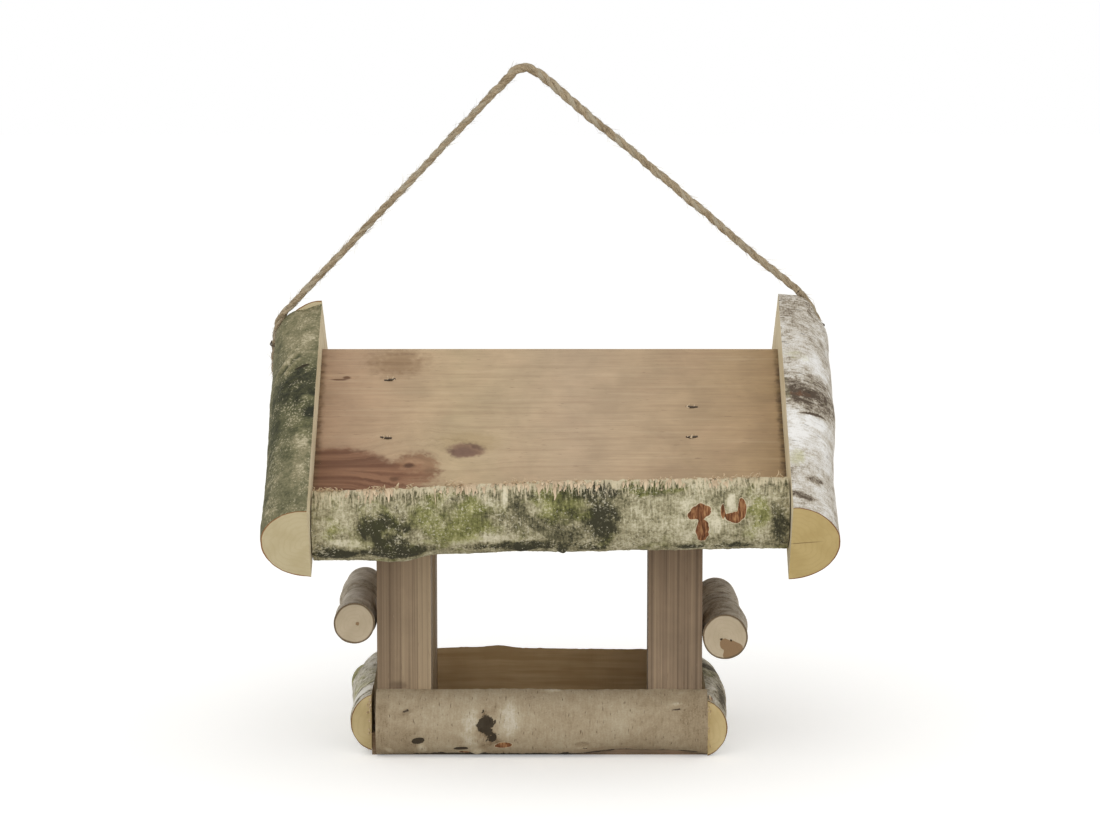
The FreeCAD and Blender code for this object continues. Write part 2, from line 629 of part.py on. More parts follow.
def build():
    """Every piece of the bird table by name, with its holes, and the fasteners in groups."""
    pieces = {}
    fasteners = {}

    fasteners["front_roof_staples"] = roof_fasteners(-1, FRONT_ROOF_STAPLES, ROOF_STAPLE_LEG)
    fasteners["front_roof_staples"] += roof_fasteners(-1, FRONT_ROOF_TACKS, TACK_STAPLE_LEG)
    fasteners["rear_roof_staples"] = roof_fasteners(1, REAR_ROOF_STAPLES, ROOF_STAPLE_LEG)
    fasteners["front_tray_staples"] = tray_fasteners(-1, FRONT_TRAY_STAPLES)
    fasteners["rear_tray_staples"] = tray_fasteners(1, REAR_TRAY_STAPLES)
    fasteners["left_tray_brads"] = side_fasteners(-1, LEFT_LOG_CENTRE)
    fasteners["right_tray_brads"] = side_fasteners(1, RIGHT_LOG_CENTRE)
    fasteners["floor_brads"] = floor_fasteners()
    left_perch = (-1, LEFT_PERCH_RADIUS, LEFT_PERCH_HEIGHT, LEFT_PERCH_GROWTH)
    right_perch = (1, RIGHT_PERCH_RADIUS, RIGHT_PERCH_HEIGHT, RIGHT_PERCH_GROWTH)
    fasteners["left_perch_brads"] = perch_fasteners(*left_perch)
    fasteners["right_perch_brads"] = perch_fasteners(*right_perch)
    fasteners["left_gable_brads"] = gable_fasteners(-1, -1) + gable_fasteners(1, -1)
    fasteners["right_gable_brads"] = gable_fasteners(-1, 1) + gable_fasteners(1, 1)
    fasteners["front_eave_brads"] = eave_fasteners(-1, FRONT_EAVE_TILT)
    fasteners["rear_eave_brads"] = eave_fasteners(1, REAR_EAVE_TILT)
    fasteners["left_twine_staple"] = [twine_staple(LEFT_END_ROUTE, 3, vector(-0.95, 0.2, 0.27))]
    fasteners["right_twine_staple"] = [twine_staple(RIGHT_END_ROUTE, 3, vector(0.84, 0.32, 0.44))]

    floor = Seat(vector(BASE_OFFSET, 0.0, 0.0), vector(1.0, 0.0, 0.0), vector(0.0, 0.0, 1.0), vector(0.0, 1.0, 0.0))
    half_length = FLOOR_LENGTH / 2
    half_width = FLOOR_WIDTH / 2
    pieces["floor_board"] = block(floor, (-half_length, half_length), (0.0, FLOOR_THICKNESS), (-half_width, half_width))
    pieces["front_left_post"] = post(POST_LEFT_FACE, -1, POST_WIDTH)
    pieces["rear_left_post"] = post(POST_LEFT_FACE, 1, POST_WIDTH)
    pieces["front_right_post"] = post(POST_RIGHT_FACE - POST_WIDTH, -1, POST_WIDTH)
    pieces["rear_right_post"] = post(POST_RIGHT_FACE - REAR_RIGHT_POST_WIDTH, 1, REAR_RIGHT_POST_WIDTH)
    pieces["front_tray_log"] = tray_log(-1, FRONT_TRAY_GROWTH)
    pieces["rear_tray_log"] = tray_log(1, REAR_TRAY_GROWTH)
    pieces["left_tray_log"] = side_log(-1, LEFT_LOG_CENTRE, LEFT_SIDE_GROWTH)
    pieces["right_tray_log"] = side_log(1, RIGHT_LOG_CENTRE, RIGHT_SIDE_GROWTH)
    pieces["left_perch"] = perch(*left_perch)
    pieces["right_perch"] = perch(*right_perch)
    pieces["front_roof_board"] = roof_board(-1)
    pieces["rear_roof_board"] = roof_board(1)
    pieces["front_left_gable_log"] = gable_log(-1, -1, FRONT_LEFT_GABLE_GROWTH)
    pieces["front_right_gable_log"] = gable_log(-1, 1, FRONT_RIGHT_GABLE_GROWTH)
    pieces["rear_left_gable_log"] = gable_log(1, -1, REAR_LEFT_GABLE_GROWTH)
    pieces["rear_right_gable_log"] = gable_log(1, 1, REAR_RIGHT_GABLE_GROWTH)
    pieces["front_eave_log"] = eave_log(-1, FRONT_EAVE_TILT, FRONT_EAVE_GROWTH)
    pieces["rear_eave_log"] = eave_log(1, REAR_EAVE_TILT, REAR_EAVE_GROWTH)

    driven = [fastener for group in fasteners.values() for fastener in group]
    finished = {name: one_solid(bored_for(wood, driven)) for name, wood in pieces.items()}
    finished["hanging_twine"] = one_solid(twine_tube(LOOP_ROUTE, "hanging_twine", True, True))
    finished["left_twine_end"] = one_solid(twine_tube(LEFT_END_ROUTE, "left_twine_end", True, False))
    finished["right_twine_end"] = one_solid(twine_tube(RIGHT_END_ROUTE, "right_twine_end", True, False))
    for name, group in fasteners.items():
        finished[name] = Part.makeCompound(group)
    return finished


os.makedirs("parts", exist_ok=True)
for node, shape in build().items():
    shape.exportStep("parts/" + node + ".step")
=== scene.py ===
"""The look of a hanging bird table: split birch logs, planed boards, square posts and a loop of jute twine.

Lengths are millimetres until a mesh is made, and metres then. X runs along the ridge, Y from front to back.
"""

from __future__ import annotations

import json
import logging
import math
from dataclasses import dataclass
from enum import Enum, IntEnum

import bmesh
import bpy
import numpy as np
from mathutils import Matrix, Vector

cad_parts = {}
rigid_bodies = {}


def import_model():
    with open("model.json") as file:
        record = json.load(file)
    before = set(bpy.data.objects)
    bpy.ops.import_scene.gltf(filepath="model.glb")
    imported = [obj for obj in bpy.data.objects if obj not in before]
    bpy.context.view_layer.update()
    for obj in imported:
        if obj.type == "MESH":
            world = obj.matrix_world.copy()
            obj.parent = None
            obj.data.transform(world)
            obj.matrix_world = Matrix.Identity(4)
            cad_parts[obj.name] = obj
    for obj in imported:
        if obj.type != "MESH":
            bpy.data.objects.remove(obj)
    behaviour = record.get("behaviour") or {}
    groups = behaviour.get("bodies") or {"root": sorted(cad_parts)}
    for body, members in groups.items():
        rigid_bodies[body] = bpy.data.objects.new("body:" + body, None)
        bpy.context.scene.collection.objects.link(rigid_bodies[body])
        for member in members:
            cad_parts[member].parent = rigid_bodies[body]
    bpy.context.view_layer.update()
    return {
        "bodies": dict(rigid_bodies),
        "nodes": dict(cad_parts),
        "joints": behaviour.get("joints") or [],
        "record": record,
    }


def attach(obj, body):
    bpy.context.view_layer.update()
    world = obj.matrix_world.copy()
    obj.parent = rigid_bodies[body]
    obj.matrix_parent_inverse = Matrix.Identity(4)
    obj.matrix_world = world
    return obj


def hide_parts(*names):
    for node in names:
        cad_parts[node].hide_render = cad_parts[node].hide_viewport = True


Material = bpy.types.Material
Piece = bpy.types.Object
Socket = bpy.types.NodeSocket
Array = np.ndarray
Numbers = float | Array
Dice = np.random.Generator
Links = dict | list | tuple
Place = tuple[float, float, float]

LOG = logging.getLogger("bird_table")
MM = 0.001
TINY = 1e-9

ROOF_SLOPE = math.radians(36.0)
RIDGE_HEIGHT = 214.68
BOARD_LENGTH = 249.6
BOARD_WIDTH = 118.0
BOARD_THICKNESS = 14.0
POST_OUTER_Y = 53.6
FLOOR_LEFT = -96.3
FLOOR_RIGHT = 85.1
POST_LEFT_FACE = -93.2
POST_RIGHT_FACE = 82.0


class Side(IntEnum):
    """Front or rear, as the sign of Y there."""

    FRONT = -1
    REAR = 1


class End(IntEnum):
    """Left or right, as the sign of X there."""

    LEFT = -1
    RIGHT = 1


class Body(Enum):
    """The body that a piece rides on."""

    HOUSE = "house"
    HANGER = "hanger"


class Region(Enum):
    """Which part of a log a face belongs to, in the order of its material slots."""

    BARK = 0
    SAWN = 1
    END = 2


class Stain(Enum):
    """What a mark on a log is, each with its own mask on the mesh."""

    DARK = "dark"
    PALE = "pale"
    MOSS = "moss"
    RUST = "rust"
    SCAR = "scar"
    HOLE = "hole"


def linear(colour: str) -> tuple[float, float, float, float]:
    """Turn an sRGB hex colour into linear red, green and blue, and an alpha of 1."""
    channels = [int(colour[place : place + 2], 16) / 255 for place in (1, 3, 5)]
    return (*(c / 12.92 if c <= 0.04045 else ((c + 0.055) / 1.055) ** 2.4 for c in channels), 1.0)


def xyz(x: Numbers, y: Numbers = 0.0, z: Numbers = 0.0) -> Array:
    """One place, or one row for each of many, where a single number stands for all."""
    return np.stack(np.broadcast_arrays(x, y, z), axis=-1).astype(float)


def unit(vectors: Array) -> Array:
    """The same directions with a length of one."""
    return vectors / (np.linalg.norm(vectors, axis=-1, keepdims=True) + TINY)


def ease(low: float, high: float, values: Array) -> Array:
    """Rise smoothly from 0 at low to 1 at high."""
    share = np.clip((values - low) / (high - low), 0, 1)
    return share * share * (3 - 2 * share)


def lattice_noise(points: Array, cell: float, seed: int) -> Array:
    """Smooth random values between -1 and 1 on a cubic lattice.

    Args:
        points: one row of three coordinates for each place.
        cell: the lattice's spacing, in the same unit.
        seed: another seed gives another pattern.

    Returns:
        One value for each row.
    """
    scaled = points / cell
    base = np.floor(scaled).astype(np.int64)
    part = scaled - base
    fade = part * part * (3 - 2 * part)
    total = np.zeros(len(points))
    # Large odd numbers scatter the corners' numbers into values that look random but never change.
    for corner in range(8):
        step = np.array([(corner >> place) & 1 for place in range(3)])
        key = (base + step) * np.array([73856093, 19349663, 83492791])
        code = (key[:, 0] ^ key[:, 1] ^ key[:, 2] ^ (seed * 40503)) & 0xFFFFFFFF
        code = ((code ^ (code >> 15)) * 739982445) & 0xFFFFFFFF
        code = ((code ^ (code >> 12)) * 695872825) & 0xFFFFFFFF
        value = ((code ^ (code >> 15)) & 0xFFFF) / 32767.5 - 1
        weight = np.where(step == 1, fade, 1 - fade).prod(axis=1)
        total += value * weight
    return total


def fractal_noise(points: Array, cell: float, seed: int, octaves: int = 3) -> Array:
    """Lattice noise added up at halving sizes from the largest cell down, still about between -1 and 1."""
    layers = (lattice_noise(points, cell / 2**octave, seed + octave) / 2**octave for octave in range(octaves))
    return sum(layers) / (2 - 2 ** (1 - octaves))


class Shell:
    """The corners, faces and painted values of one piece, gathered part by part."""

    def __init__(self) -> None:
        """Start with nothing."""
        self.points: list[Array] = []
        self.fields: dict[str, list[Array]] = {}
        self.faces: list[list[int]] = []
        self.regions: list[int] = []
        self.total = 0

    def add(self, points: Array, **fields: Numbers) -> Array:
        """Add corners.

        Args:
            points: their places in millimetres, as a row or a grid of places.
            fields: for each painted value, one number or place for each corner, or one number for all.

        Returns:
            The new corners' numbers, laid out like their places.
        """
        count = points.size // 3
        for name, values in fields.items():
            rows = np.full(count, float(values)) if np.ndim(values) == 0 else values
            self.fields.setdefault(name, []).append(rows.reshape((count, 3) if rows.size > count else count))
        self.points.append(points.reshape(count, 3))
        self.total += count
        return np.arange(self.total - count, self.total).reshape(points.shape[:-1])

    def sheet(self, grid: Array, region: Region = Region.BARK) -> None:
        """Join the neighbours in a grid of corners with faces of four corners.

        Args:
            grid: the corners' numbers.
            region: what the faces are.
        """
        quads = np.stack([grid[:-1, :-1], grid[:-1, 1:], grid[1:, 1:], grid[1:, :-1]], axis=-1).reshape(-1, 4)
        self.faces += quads.tolist()
        self.regions += [region.value] * len(quads)

    def tube(self, grid: Array, closed: bool = True) -> None:
        """Join a grid of corners into a tube.

        Args:
            grid: the corners' numbers, one row for each ring.
            closed: whether a face closes each end.
        """
        self.sheet(np.column_stack([grid, grid[:, 0]]))
        if closed:
            self.faces += [grid[0].tolist(), grid[-1].tolist()]
            self.regions += [Region.BARK.value] * 2

    def cap(self, loop: Array, centre: int, region: Region = Region.BARK) -> None:
        """Close a loop of corners with a fan to a middle corner.

        Args:
            loop: the corners' numbers, in order.
            centre: the middle corner's number.
            region: what the faces are.
        """
        fan = np.stack([loop, np.roll(loop, -1), np.full(len(loop), centre)], axis=-1)
        self.faces += fan.tolist()
        self.regions += [region.value] * len(fan)

    def piece(self, name: str, body: Body, materials: list[Material], crease: float = 48.0) -> Piece:
        """Make the object.

        Args:
            name: the piece's name.
            body: the body that it rides on.
            materials: one for each region.
            crease: the angle in degrees from which an edge stays sharp.

        Returns:
            The object, at the origin, in the scene.
        """
        mesh = bpy.data.meshes.new(name)
        mesh.from_pydata((np.concatenate(self.points) * MM).tolist(), [], self.faces)
        mesh.polygons.foreach_set("material_index", self.regions)
        mesh.polygons.foreach_set("use_smooth", [True] * len(mesh.polygons))
        loose = bmesh.new()
        loose.from_mesh(mesh)
        bmesh.ops.recalc_face_normals(loose, faces=loose.faces)
        loose.to_mesh(mesh)
        loose.free()
        mesh.set_sharp_from_angle(angle=math.radians(crease))
        for field_name, parts in self.fields.items():
            values = np.concatenate(parts)
            kind, slot = ("FLOAT_VECTOR", "vector") if values.ndim == 2 else ("FLOAT", "value")
            painted = mesh.attributes.new(field_name, kind, "POINT")
            painted.data.foreach_set(slot, values.astype(np.float32).ravel())
        for material in materials:
            mesh.materials.append(material)
        piece = bpy.data.objects.new(name, mesh)
        bpy.context.collection.objects.link(piece)
        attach(piece, body.value)
        LOG.info("%s: %d corners", name, self.total)
        return piece


def speckled(place: Socket, size: float, detail: float, rough: float = 0.5, bend: float = 0.0) -> dict:
    """A noise node's inputs: its place, its size in millimetres, and how fine, rough and bent it is."""
    drawn = {"Vector": place, "Scale": 1 / size, "Detail": detail}
    return {**drawn, "Roughness": rough, "Distortion": bend}


def span(value: Socket, start: float, full: float, low: float = 0.0, high: float = 1.0) -> dict:
    """A mapping node's inputs, for a value that runs from start to full and becomes low to high."""
    return {"Value": value, "From Min": start, "From Max": full, "To Min": low, "To Max": high}


@dataclass(frozen=True)
class Coat:
    """A colour over what lies below: none where a value is at start, and its share where it is at full."""

    value: Socket
    start: float
    full: float
    tint: Socket | str
    share: float = 1.0
    soft: bool = False


class Finish:
    """A node tree, grown one node at a time."""

    def __init__(self, name: str, world: bool = False) -> None:
        """Start with an empty tree.

        Args:
            name: the material's or world's name.
            world: whether it is a world.
        """
        self.owner = (bpy.data.worlds if world else bpy.data.materials).new(name)
        self.owner.use_nodes = True
        self.tree = self.owner.node_tree
        self.tree.nodes.clear()

    def add(self, kind: str, links: Links = (), output: int | str = 0, **settings: object) -> Socket | None:
        """Add a node with its settings and links.

        Args:
            kind: the node's type, without the words that all shader nodes start with.
            links: sockets, numbers, vectors or hex colours for its inputs, in order or by name or number.
            output: which output to hand back.
            settings: the node's own settings. stops sets a colour ramp, as pairs of place and hex colour.

        Returns:
            The chosen output, or None where the node has none.
        """
        node = self.tree.nodes.new("ShaderNode" + kind)
        stops = settings.pop("stops", None)
        for setting, value in settings.items():
            setattr(node, setting, value)
        if stops:
            ramp = node.color_ramp.elements
            while len(ramp) < len(stops):
                ramp.new(0.5)
            for element, (place, colour) in zip(ramp, stops):
                element.position = place
                element.color = linear(colour)
        for place, value in links.items() if isinstance(links, dict) else enumerate(links):
            if isinstance(value, bpy.types.NodeSocket):
                self.tree.links.new(value, node.inputs[place])
            else:
                node.inputs[place].default_value = linear(value) if isinstance(value, str) else value
        return node.outputs[output] if node.outputs else None

    def lay(self, colour: Socket | str, *coats: Coat) -> tuple[Socket, list[Socket]]:
        """Lay coats of colour over one another.

        Args:
            colour: what lies below them.
            coats: the lowest first.

        Returns:
            The colour on top, and each coat's share of it.
        """
        shares = []
        for coat in coats:
            rise = span(coat.value, coat.start, coat.full, high=coat.share)
            style = "SMOOTHSTEP" if coat.soft else "LINEAR"
            shares.append(self.add("MapRange", rise, interpolation_type=style))
            colour = self.add("Mix", {0: shares[-1], 6: colour, 7: coat.tint}, 2, data_type="RGBA")
        return colour, shares

    def surface(self, colour: Socket, rough: float, relief: Socket, depth: float, **more: float) -> Material:
        """Close the tree with a bumped Principled surface.

        Args:
            colour: the base colour.
            rough: its roughness, a constant set on the shader's own socket.
            relief: the height that the bump follows, from 0 to 1.
            depth: how deep that relief is, in millimetres.
            more: further constants for the shader, with underscores for spaces.

        Returns:
            The finished material.
        """
        bump = self.add("Bump", {"Height": relief, "Distance": depth * MM})
        constants = {key.replace("_", " "): value for key, value in more.items()}
        inputs = {"Base Color": colour, "Roughness": rough, "Normal": bump, **constants}
        closed = self.add("BsdfPrincipled", inputs)
        self.add("OutputMaterial", {"Surface": closed})
        return self.owner


@dataclass(frozen=True)
class Figure:
    """A knot, a patch of heartwood, a smudge, or a strip of painted shade or light in a board, with its place
    and half sizes in millimetres.
    """

    along: float
    across: float
    half_along: float
    half_across: float
    dark: str = "#6a5041"
    light: str = "#876b56"
    strength: float = 0.85
    soft: float = 0.2
    ragged: float = 0.9
    pull: float = 0.75


# The figures that the photograph shows in the front roof board, with painted shade along both its ends where
# the gable logs meet it; and on the left posts a strip of painted shade down the left edge, a strip of
# painted light near the right edge, and a knot.
FRONT_PLANK_FIGURES_AND_SHADE = (
    Figure(-71, 92.5, 12, 11.5, "#74523b", "#8d6a4e", 0.8, 0.22, 0.9, 0.6),
    Figure(-74.5, 95, 8.5, 8, "#8f6b4f", "#ae8c6e", 0.85, 0.3, 0.9, 0),
    Figure(-43, 73, 15, 7, "#98835f", "#a6906c", 0.6, 0.5, 0.8, 0),
    Figure(-44.6, 79.5, 9.6, 5.4, "#644a3f", "#7d614f", 0.9, 0.3, 0.7),
    Figure(-46, 80.5, 6.5, 3.2, "#5f463d", "#70564a", 0.7, 0.5, 0.9, 0),
    Figure(-113, 104.5, 37, 26.5, "#65412e", "#805b44", 0.9, 0.10, 0.22, 0),
    Figure(-86, 104, 24, 13, "#6b4733", "#8f694f", 0.75, 0.5, 1.6, 0),
    Figure(-74.5, 91, 3, 1.8, "#4f3527", "#644530", 0.9, 0.5, 1.2, 0),
    Figure(-82, 101, 2.6, 1.6, "#4f3527", "#644530", 0.8, 0.5, 1.2, 0),
    Figure(-83, 11, 14, 9.5, "#7f6448", "#93785a", 0.75, 0.6, 1.7, 0),
    Figure(-114.5, 24.4, 4.4, 0.9, "#5d4330", "#6a4f3a", 0.95, 0.4, 0.4, 0),
    Figure(-110.4, 22.6, 2.2, 0.9, "#5d4330", "#6a4f3a", 0.95, 0.4, 0.4, 0),
    # Painted shade: dark strips along the board's two ends, where the gable logs meet it. The left one also
    # holds dark dashes in the wood.
    Figure(-125.5, 60, 3.2, 90, "#574029", "#7a6146", 0.85, 0.6, 1.2, 0),
    Figure(125.5, 60, 3, 90, "#4b3a28", "#75603f", 0.9, 0.6, 1.2, 0),
)
LEFT_POST_SHADE_LIGHT_AND_KNOT = (
    # Painted shade down the left posts' left edge and painted light near their right edge, then a knot.
    Figure(95, -92, 90, 11, "#6a5743", "#806c56", 0.75, 0.5, 0.25, 0),
    Figure(95, -67, 90, 5, "#99866b", "#ad987b", 0.6, 0.5, 0.25, 0),
    Figure(38, -82, 2.6, 4.5, "#574636", "#6c5946", 0.7, 0.6, 0.9, 0),
)


@dataclass(frozen=True)
class PlanedSoftwood:
    """Spruce planed and oiled, then greyed outdoors: dull, with fine lines of latewood.

    The grain runs along X of the piece's own measure, which is an attribute, or else of the object.
    """

    name: str
    tints: tuple[tuple[float, str], ...] = (
        (0, "#a78b72"), (0.1, "#b09578"), (0.3, "#b5a07f"),
        (0.55, "#b69f83"), (0.75, "#ae9678"), (1, "#a68c69"),
    )
    line: str = "#8a7159"
    light: str = "#c7b193"
    line_share: float = 0.24
    light_share: float = 0.2
    blush: str = "#b7967b"
    blush_share: float = 0.35
    dash: str = "#6d543f"
    fleck: str = "#d9c6a6"
    ring_width: float = 2.6
    wander: float = 0.012
    dash_stretch: float = 0.11
    grain_turn: Place = (0.0, 0.0, 0.0)
    reach: tuple[float, float] = (-125.0, 125.0)
    measured: bool = True
    figures: tuple[Figure, ...] = ()

    def figured(self, wood: Finish, place: Socket, across: Socket) -> tuple[Socket, list[Socket]]:
        """Bend the grain round the figures.

        Args:
            wood: the material, which grows.
            place: the place along, across and into the wood.
            across: the part of it that lies across the grain.

        Returns:
            The bent distance across the grain, and how far off each figure a place lies, in its half sizes.
        """
        noise = wood.add("TexNoise", speckled(place, 3.3333, 3.0), "Color")
        shaken = wood.add("VectorMath", [noise, (-0.5, -0.5, -0.5)], operation="ADD")
        reaches = []
        for figure in self.figures:
            middle = (figure.along, figure.across, 0.0)
            halves = (1 / figure.half_along, 1 / figure.half_across, 0.0)
            offset = wood.add("VectorMath", [place, middle], operation="SUBTRACT")
            ragged = wood.add("VectorMath", {0: shaken, "Scale": figure.ragged}, operation="SCALE")
            ragged = wood.add("VectorMath", [offset, halves, ragged], operation="MULTIPLY_ADD")
            reaches.append(wood.add("VectorMath", [ragged], "Value", operation="LENGTH"))
            if figure.pull:
                fall = span(reaches[-1], 0.6, 3.4, figure.pull, 0.0)
                pull = wood.add("MapRange", fall, interpolation_type="SMOOTHSTEP")
                aside = wood.add("SeparateXYZ", [offset], "Y")
                shift = wood.add("Math", [aside, pull], operation="MULTIPLY")
                across = wood.add("Math", [across, shift], operation="SUBTRACT")
        return across, reaches

    def make(self) -> Material:
        """Grow the wood's material.

        Returns:
            The material.
        """
        wood = Finish(self.name)
        if self.measured:
            place = wood.add("Attribute", output="Vector", attribute_name="measure")
        else:
            at = wood.add("TexCoord", output="Object")
            turned = {"Vector": at, "Rotation": self.grain_turn, "Scale": (1 / MM, 1 / MM, 1 / MM)}
            place = wood.add("Mapping", turned)
        along, across, depth = (wood.add("SeparateXYZ", [place], letter) for letter in "XYZ")
        bent, reaches = self.figured(wood, place, across)
        slow = wood.add("Math", [along, self.wander], operation="MULTIPLY")
        grain = wood.add("CombineXYZ", [slow, bent, depth])
        quick = wood.add("Math", [along, self.dash_stretch], operation="MULTIPLY")
        dashed = wood.add("CombineXYZ", [quick, bent, depth])
        patterns = {
            "rings": speckled(grain, self.ring_width, 2.0, 0.5, 0.25),
            "fine": speckled(grain, 0.5, 3.0, 0.6),
            "dashes": speckled(dashed, 1.0, 3.0, 0.6),
            "specks": speckled(dashed, 1.25, 4.0, 0.8),
            "broad": speckled(place, 28.57, 3.0, 0.6, 0.3),
            "flush": speckled(place, 45.45, 4.0, 0.65, 0.8),
        }
        noise = {name: wood.add("TexNoise", links) for name, links in patterns.items()}
        run = wood.add("MapRange", span(along, *self.reach))
        colour = wood.add("ValToRGB", [run], stops=self.tints)
        colour, _ = wood.lay(
            colour,
            Coat(noise["flush"], 0.46, 0.6, self.blush, self.blush_share),
            Coat(noise["rings"], 0.47, 0.36, self.line, self.line_share),
            Coat(noise["rings"], 0.55, 0.68, self.light, self.light_share),
        )
        weather = wood.add("MapRange", span(noise["broad"], 0.36, 0.66, 0.90, 1.08))
        streaks = wood.add("MapRange", span(noise["fine"], 0.3, 0.7, 0.93, 1.06))
        shade = wood.add("Math", [weather, streaks], operation="MULTIPLY")
        colour = wood.add("VectorMath", {0: colour, "Scale": shade}, operation="SCALE")
        for figure, radius in zip(self.figures, reaches):
            stops = [(0.38, figure.dark), (0.58, figure.light)]
            body = wood.add("ValToRGB", [noise["rings"]], stops=stops)
            body = wood.add("VectorMath", {0: body, "Scale": streaks}, operation="SCALE")
            inside = Coat(radius, 1 + figure.soft, 1 - figure.soft, body, figure.strength, soft=True)
            colour, _ = wood.lay(colour, inside)
        colour, (dark, _) = wood.lay(
            colour,
            Coat(noise["dashes"], 0.65, 0.74, self.dash, 0.55),
            Coat(noise["specks"], 0.69, 0.75, self.fleck, 0.6),
        )
        height = wood.add("Math", [noise["fine"], dark], operation="SUBTRACT")
        return wood.surface(colour, 0.72, height, 0.12, Specular_IOR_Level=0.3)


@dataclass(frozen=True)
class BirchBark:
    """Birch bark left on the log: papery, dull and mottled, with slits and torn fibres round it, and moss.

    Five tones run from dark to light. Marks on the mesh shift them, so that a mark breaks up as bark does.
    """

    name: str
    tones: tuple[str, str, str, str, str]
    mossy: tuple[str, str, str] = ("#38381f", "#6a6c3f", "#a5a36e")
    inner: tuple[str, str, str] = ("#53351f", "#7c5034", "#a67c54")
    torn_colour: str = "#d5c7a8"
    pit: str = "#332b20"
    patch: float = 12.0
    speckle: float = 1.5
    spread: float = 0.34
    bias: float = 0.0
    streaks: float = 0.5
    lenticels: float = 0.4
    moss_share: float = 0.4
    torn: float = 0.0
    relief: float = 0.5
    crumbs: float = 0.0
    slit_width: float = 1.5
    round_stretch: Place = (1.0, 0.16, 1.0)

    def make(self) -> Material:
        """Grow the bark's material.

        Returns:
            The material.
        """
        bark = Finish(self.name)
        place = bark.add("Attribute", output="Vector", attribute_name="wrap")
        masks = {stain: bark.add("Attribute", output="Fac", attribute_name=stain.value) for stain in Stain}
        edge = bark.add("Attribute", output="Fac", attribute_name="edge")
        round_way = bark.add("VectorMath", [place, self.round_stretch], operation="MULTIPLY")
        patterns = {
            "broad": speckled(place, self.patch, 3.0, 0.55, 0.5),
            "middle": speckled(place, 4.6, 4.0, 0.6, 0.3),
            "fine": speckled(place, self.speckle, 4.0, 0.7),
            "combed": speckled(round_way, 1.1, 3.0, 0.6, 0.4),
            "slits": speckled(round_way, self.slit_width, 2.0),
            "crumbs": speckled(place, 1.3, 3.0, 0.65),
            "green": speckled(place, 19.0, 4.0, 0.65, 0.6),
        }
        noise = {name: bark.add("TexNoise", links) for name, links in patterns.items()}
        tone = noise["fine"]
        weights = [(noise["middle"], 0.7), (noise["broad"], 0.8), (noise["combed"], self.streaks)]
        weights += [(masks[Stain.PALE], 0.5), (masks[Stain.DARK], -0.55)]
        for layer, weight in weights:
            tone = bark.add("Math", [layer, weight, tone], operation="MULTIPLY_ADD")
        middle = (2.5 + self.streaks) / 2 - self.bias
        tone = bark.add("MapRange", span(tone, middle - self.spread, middle + self.spread))
        colour = bark.add("ValToRGB", [tone], stops=list(zip((0.0, 0.27, 0.5, 0.74, 1.0), self.tones)))
        green = bark.add("ValToRGB", [tone], stops=list(zip((0.05, 0.5, 0.95), self.mossy)))
        bared = bark.add("ValToRGB", [noise["combed"]], stops=list(zip((0.36, 0.5, 0.66), self.inner)))
        mossy = bark.add("Math", [noise["green"], masks[Stain.MOSS]], operation="ADD")
        warm = bark.add("Math", [noise["middle"], masks[Stain.RUST]], operation="MULTIPLY")
        crumbs = bark.add("Math", [noise["broad"], 0.5, noise["crumbs"]], operation="MULTIPLY_ADD")
        near = bark.add("MapRange", span(edge, 0.0, 14.0, 0.40, 0.0))
        fray = bark.add("Math", [noise["combed"], near], operation="ADD")
        uneven = bark.add("Math", [noise["middle"], noise["fine"]], operation="ADD")
        peeled = bark.add("Math", [uneven, 0.3, masks[Stain.SCAR]], operation="MULTIPLY_ADD")
        hole = bark.add("Math", [noise["fine"], 0.9, masks[Stain.HOLE]], operation="MULTIPLY_ADD")
        least = 0.75 - 0.5 * self.moss_share
        colour, shares = bark.lay(
            colour,
            Coat(mossy, least, least + 0.2, green, 0.85),
            Coat(warm, 0.12, 0.5, self.inner[1], 0.85),
            Coat(noise["slits"], 0.66, 0.73, self.tones[0], self.lenticels),
            Coat(crumbs, 0.84, 0.9, self.tones[4], self.crumbs),
            Coat(fray, 0.70, 0.84, self.torn_colour, self.torn),
            Coat(peeled, 0.56, 0.62, self.torn_colour, 0.8),
            Coat(peeled, 0.70, 0.75, bared),
            Coat(hole, 0.85, 0.97, self.pit, 0.94),
        )
        height = bark.add("Math", [tone, shares[2]], operation="SUBTRACT")
        return bark.surface(colour, 0.86, height, self.relief, Specular_IOR_Level=0.2)


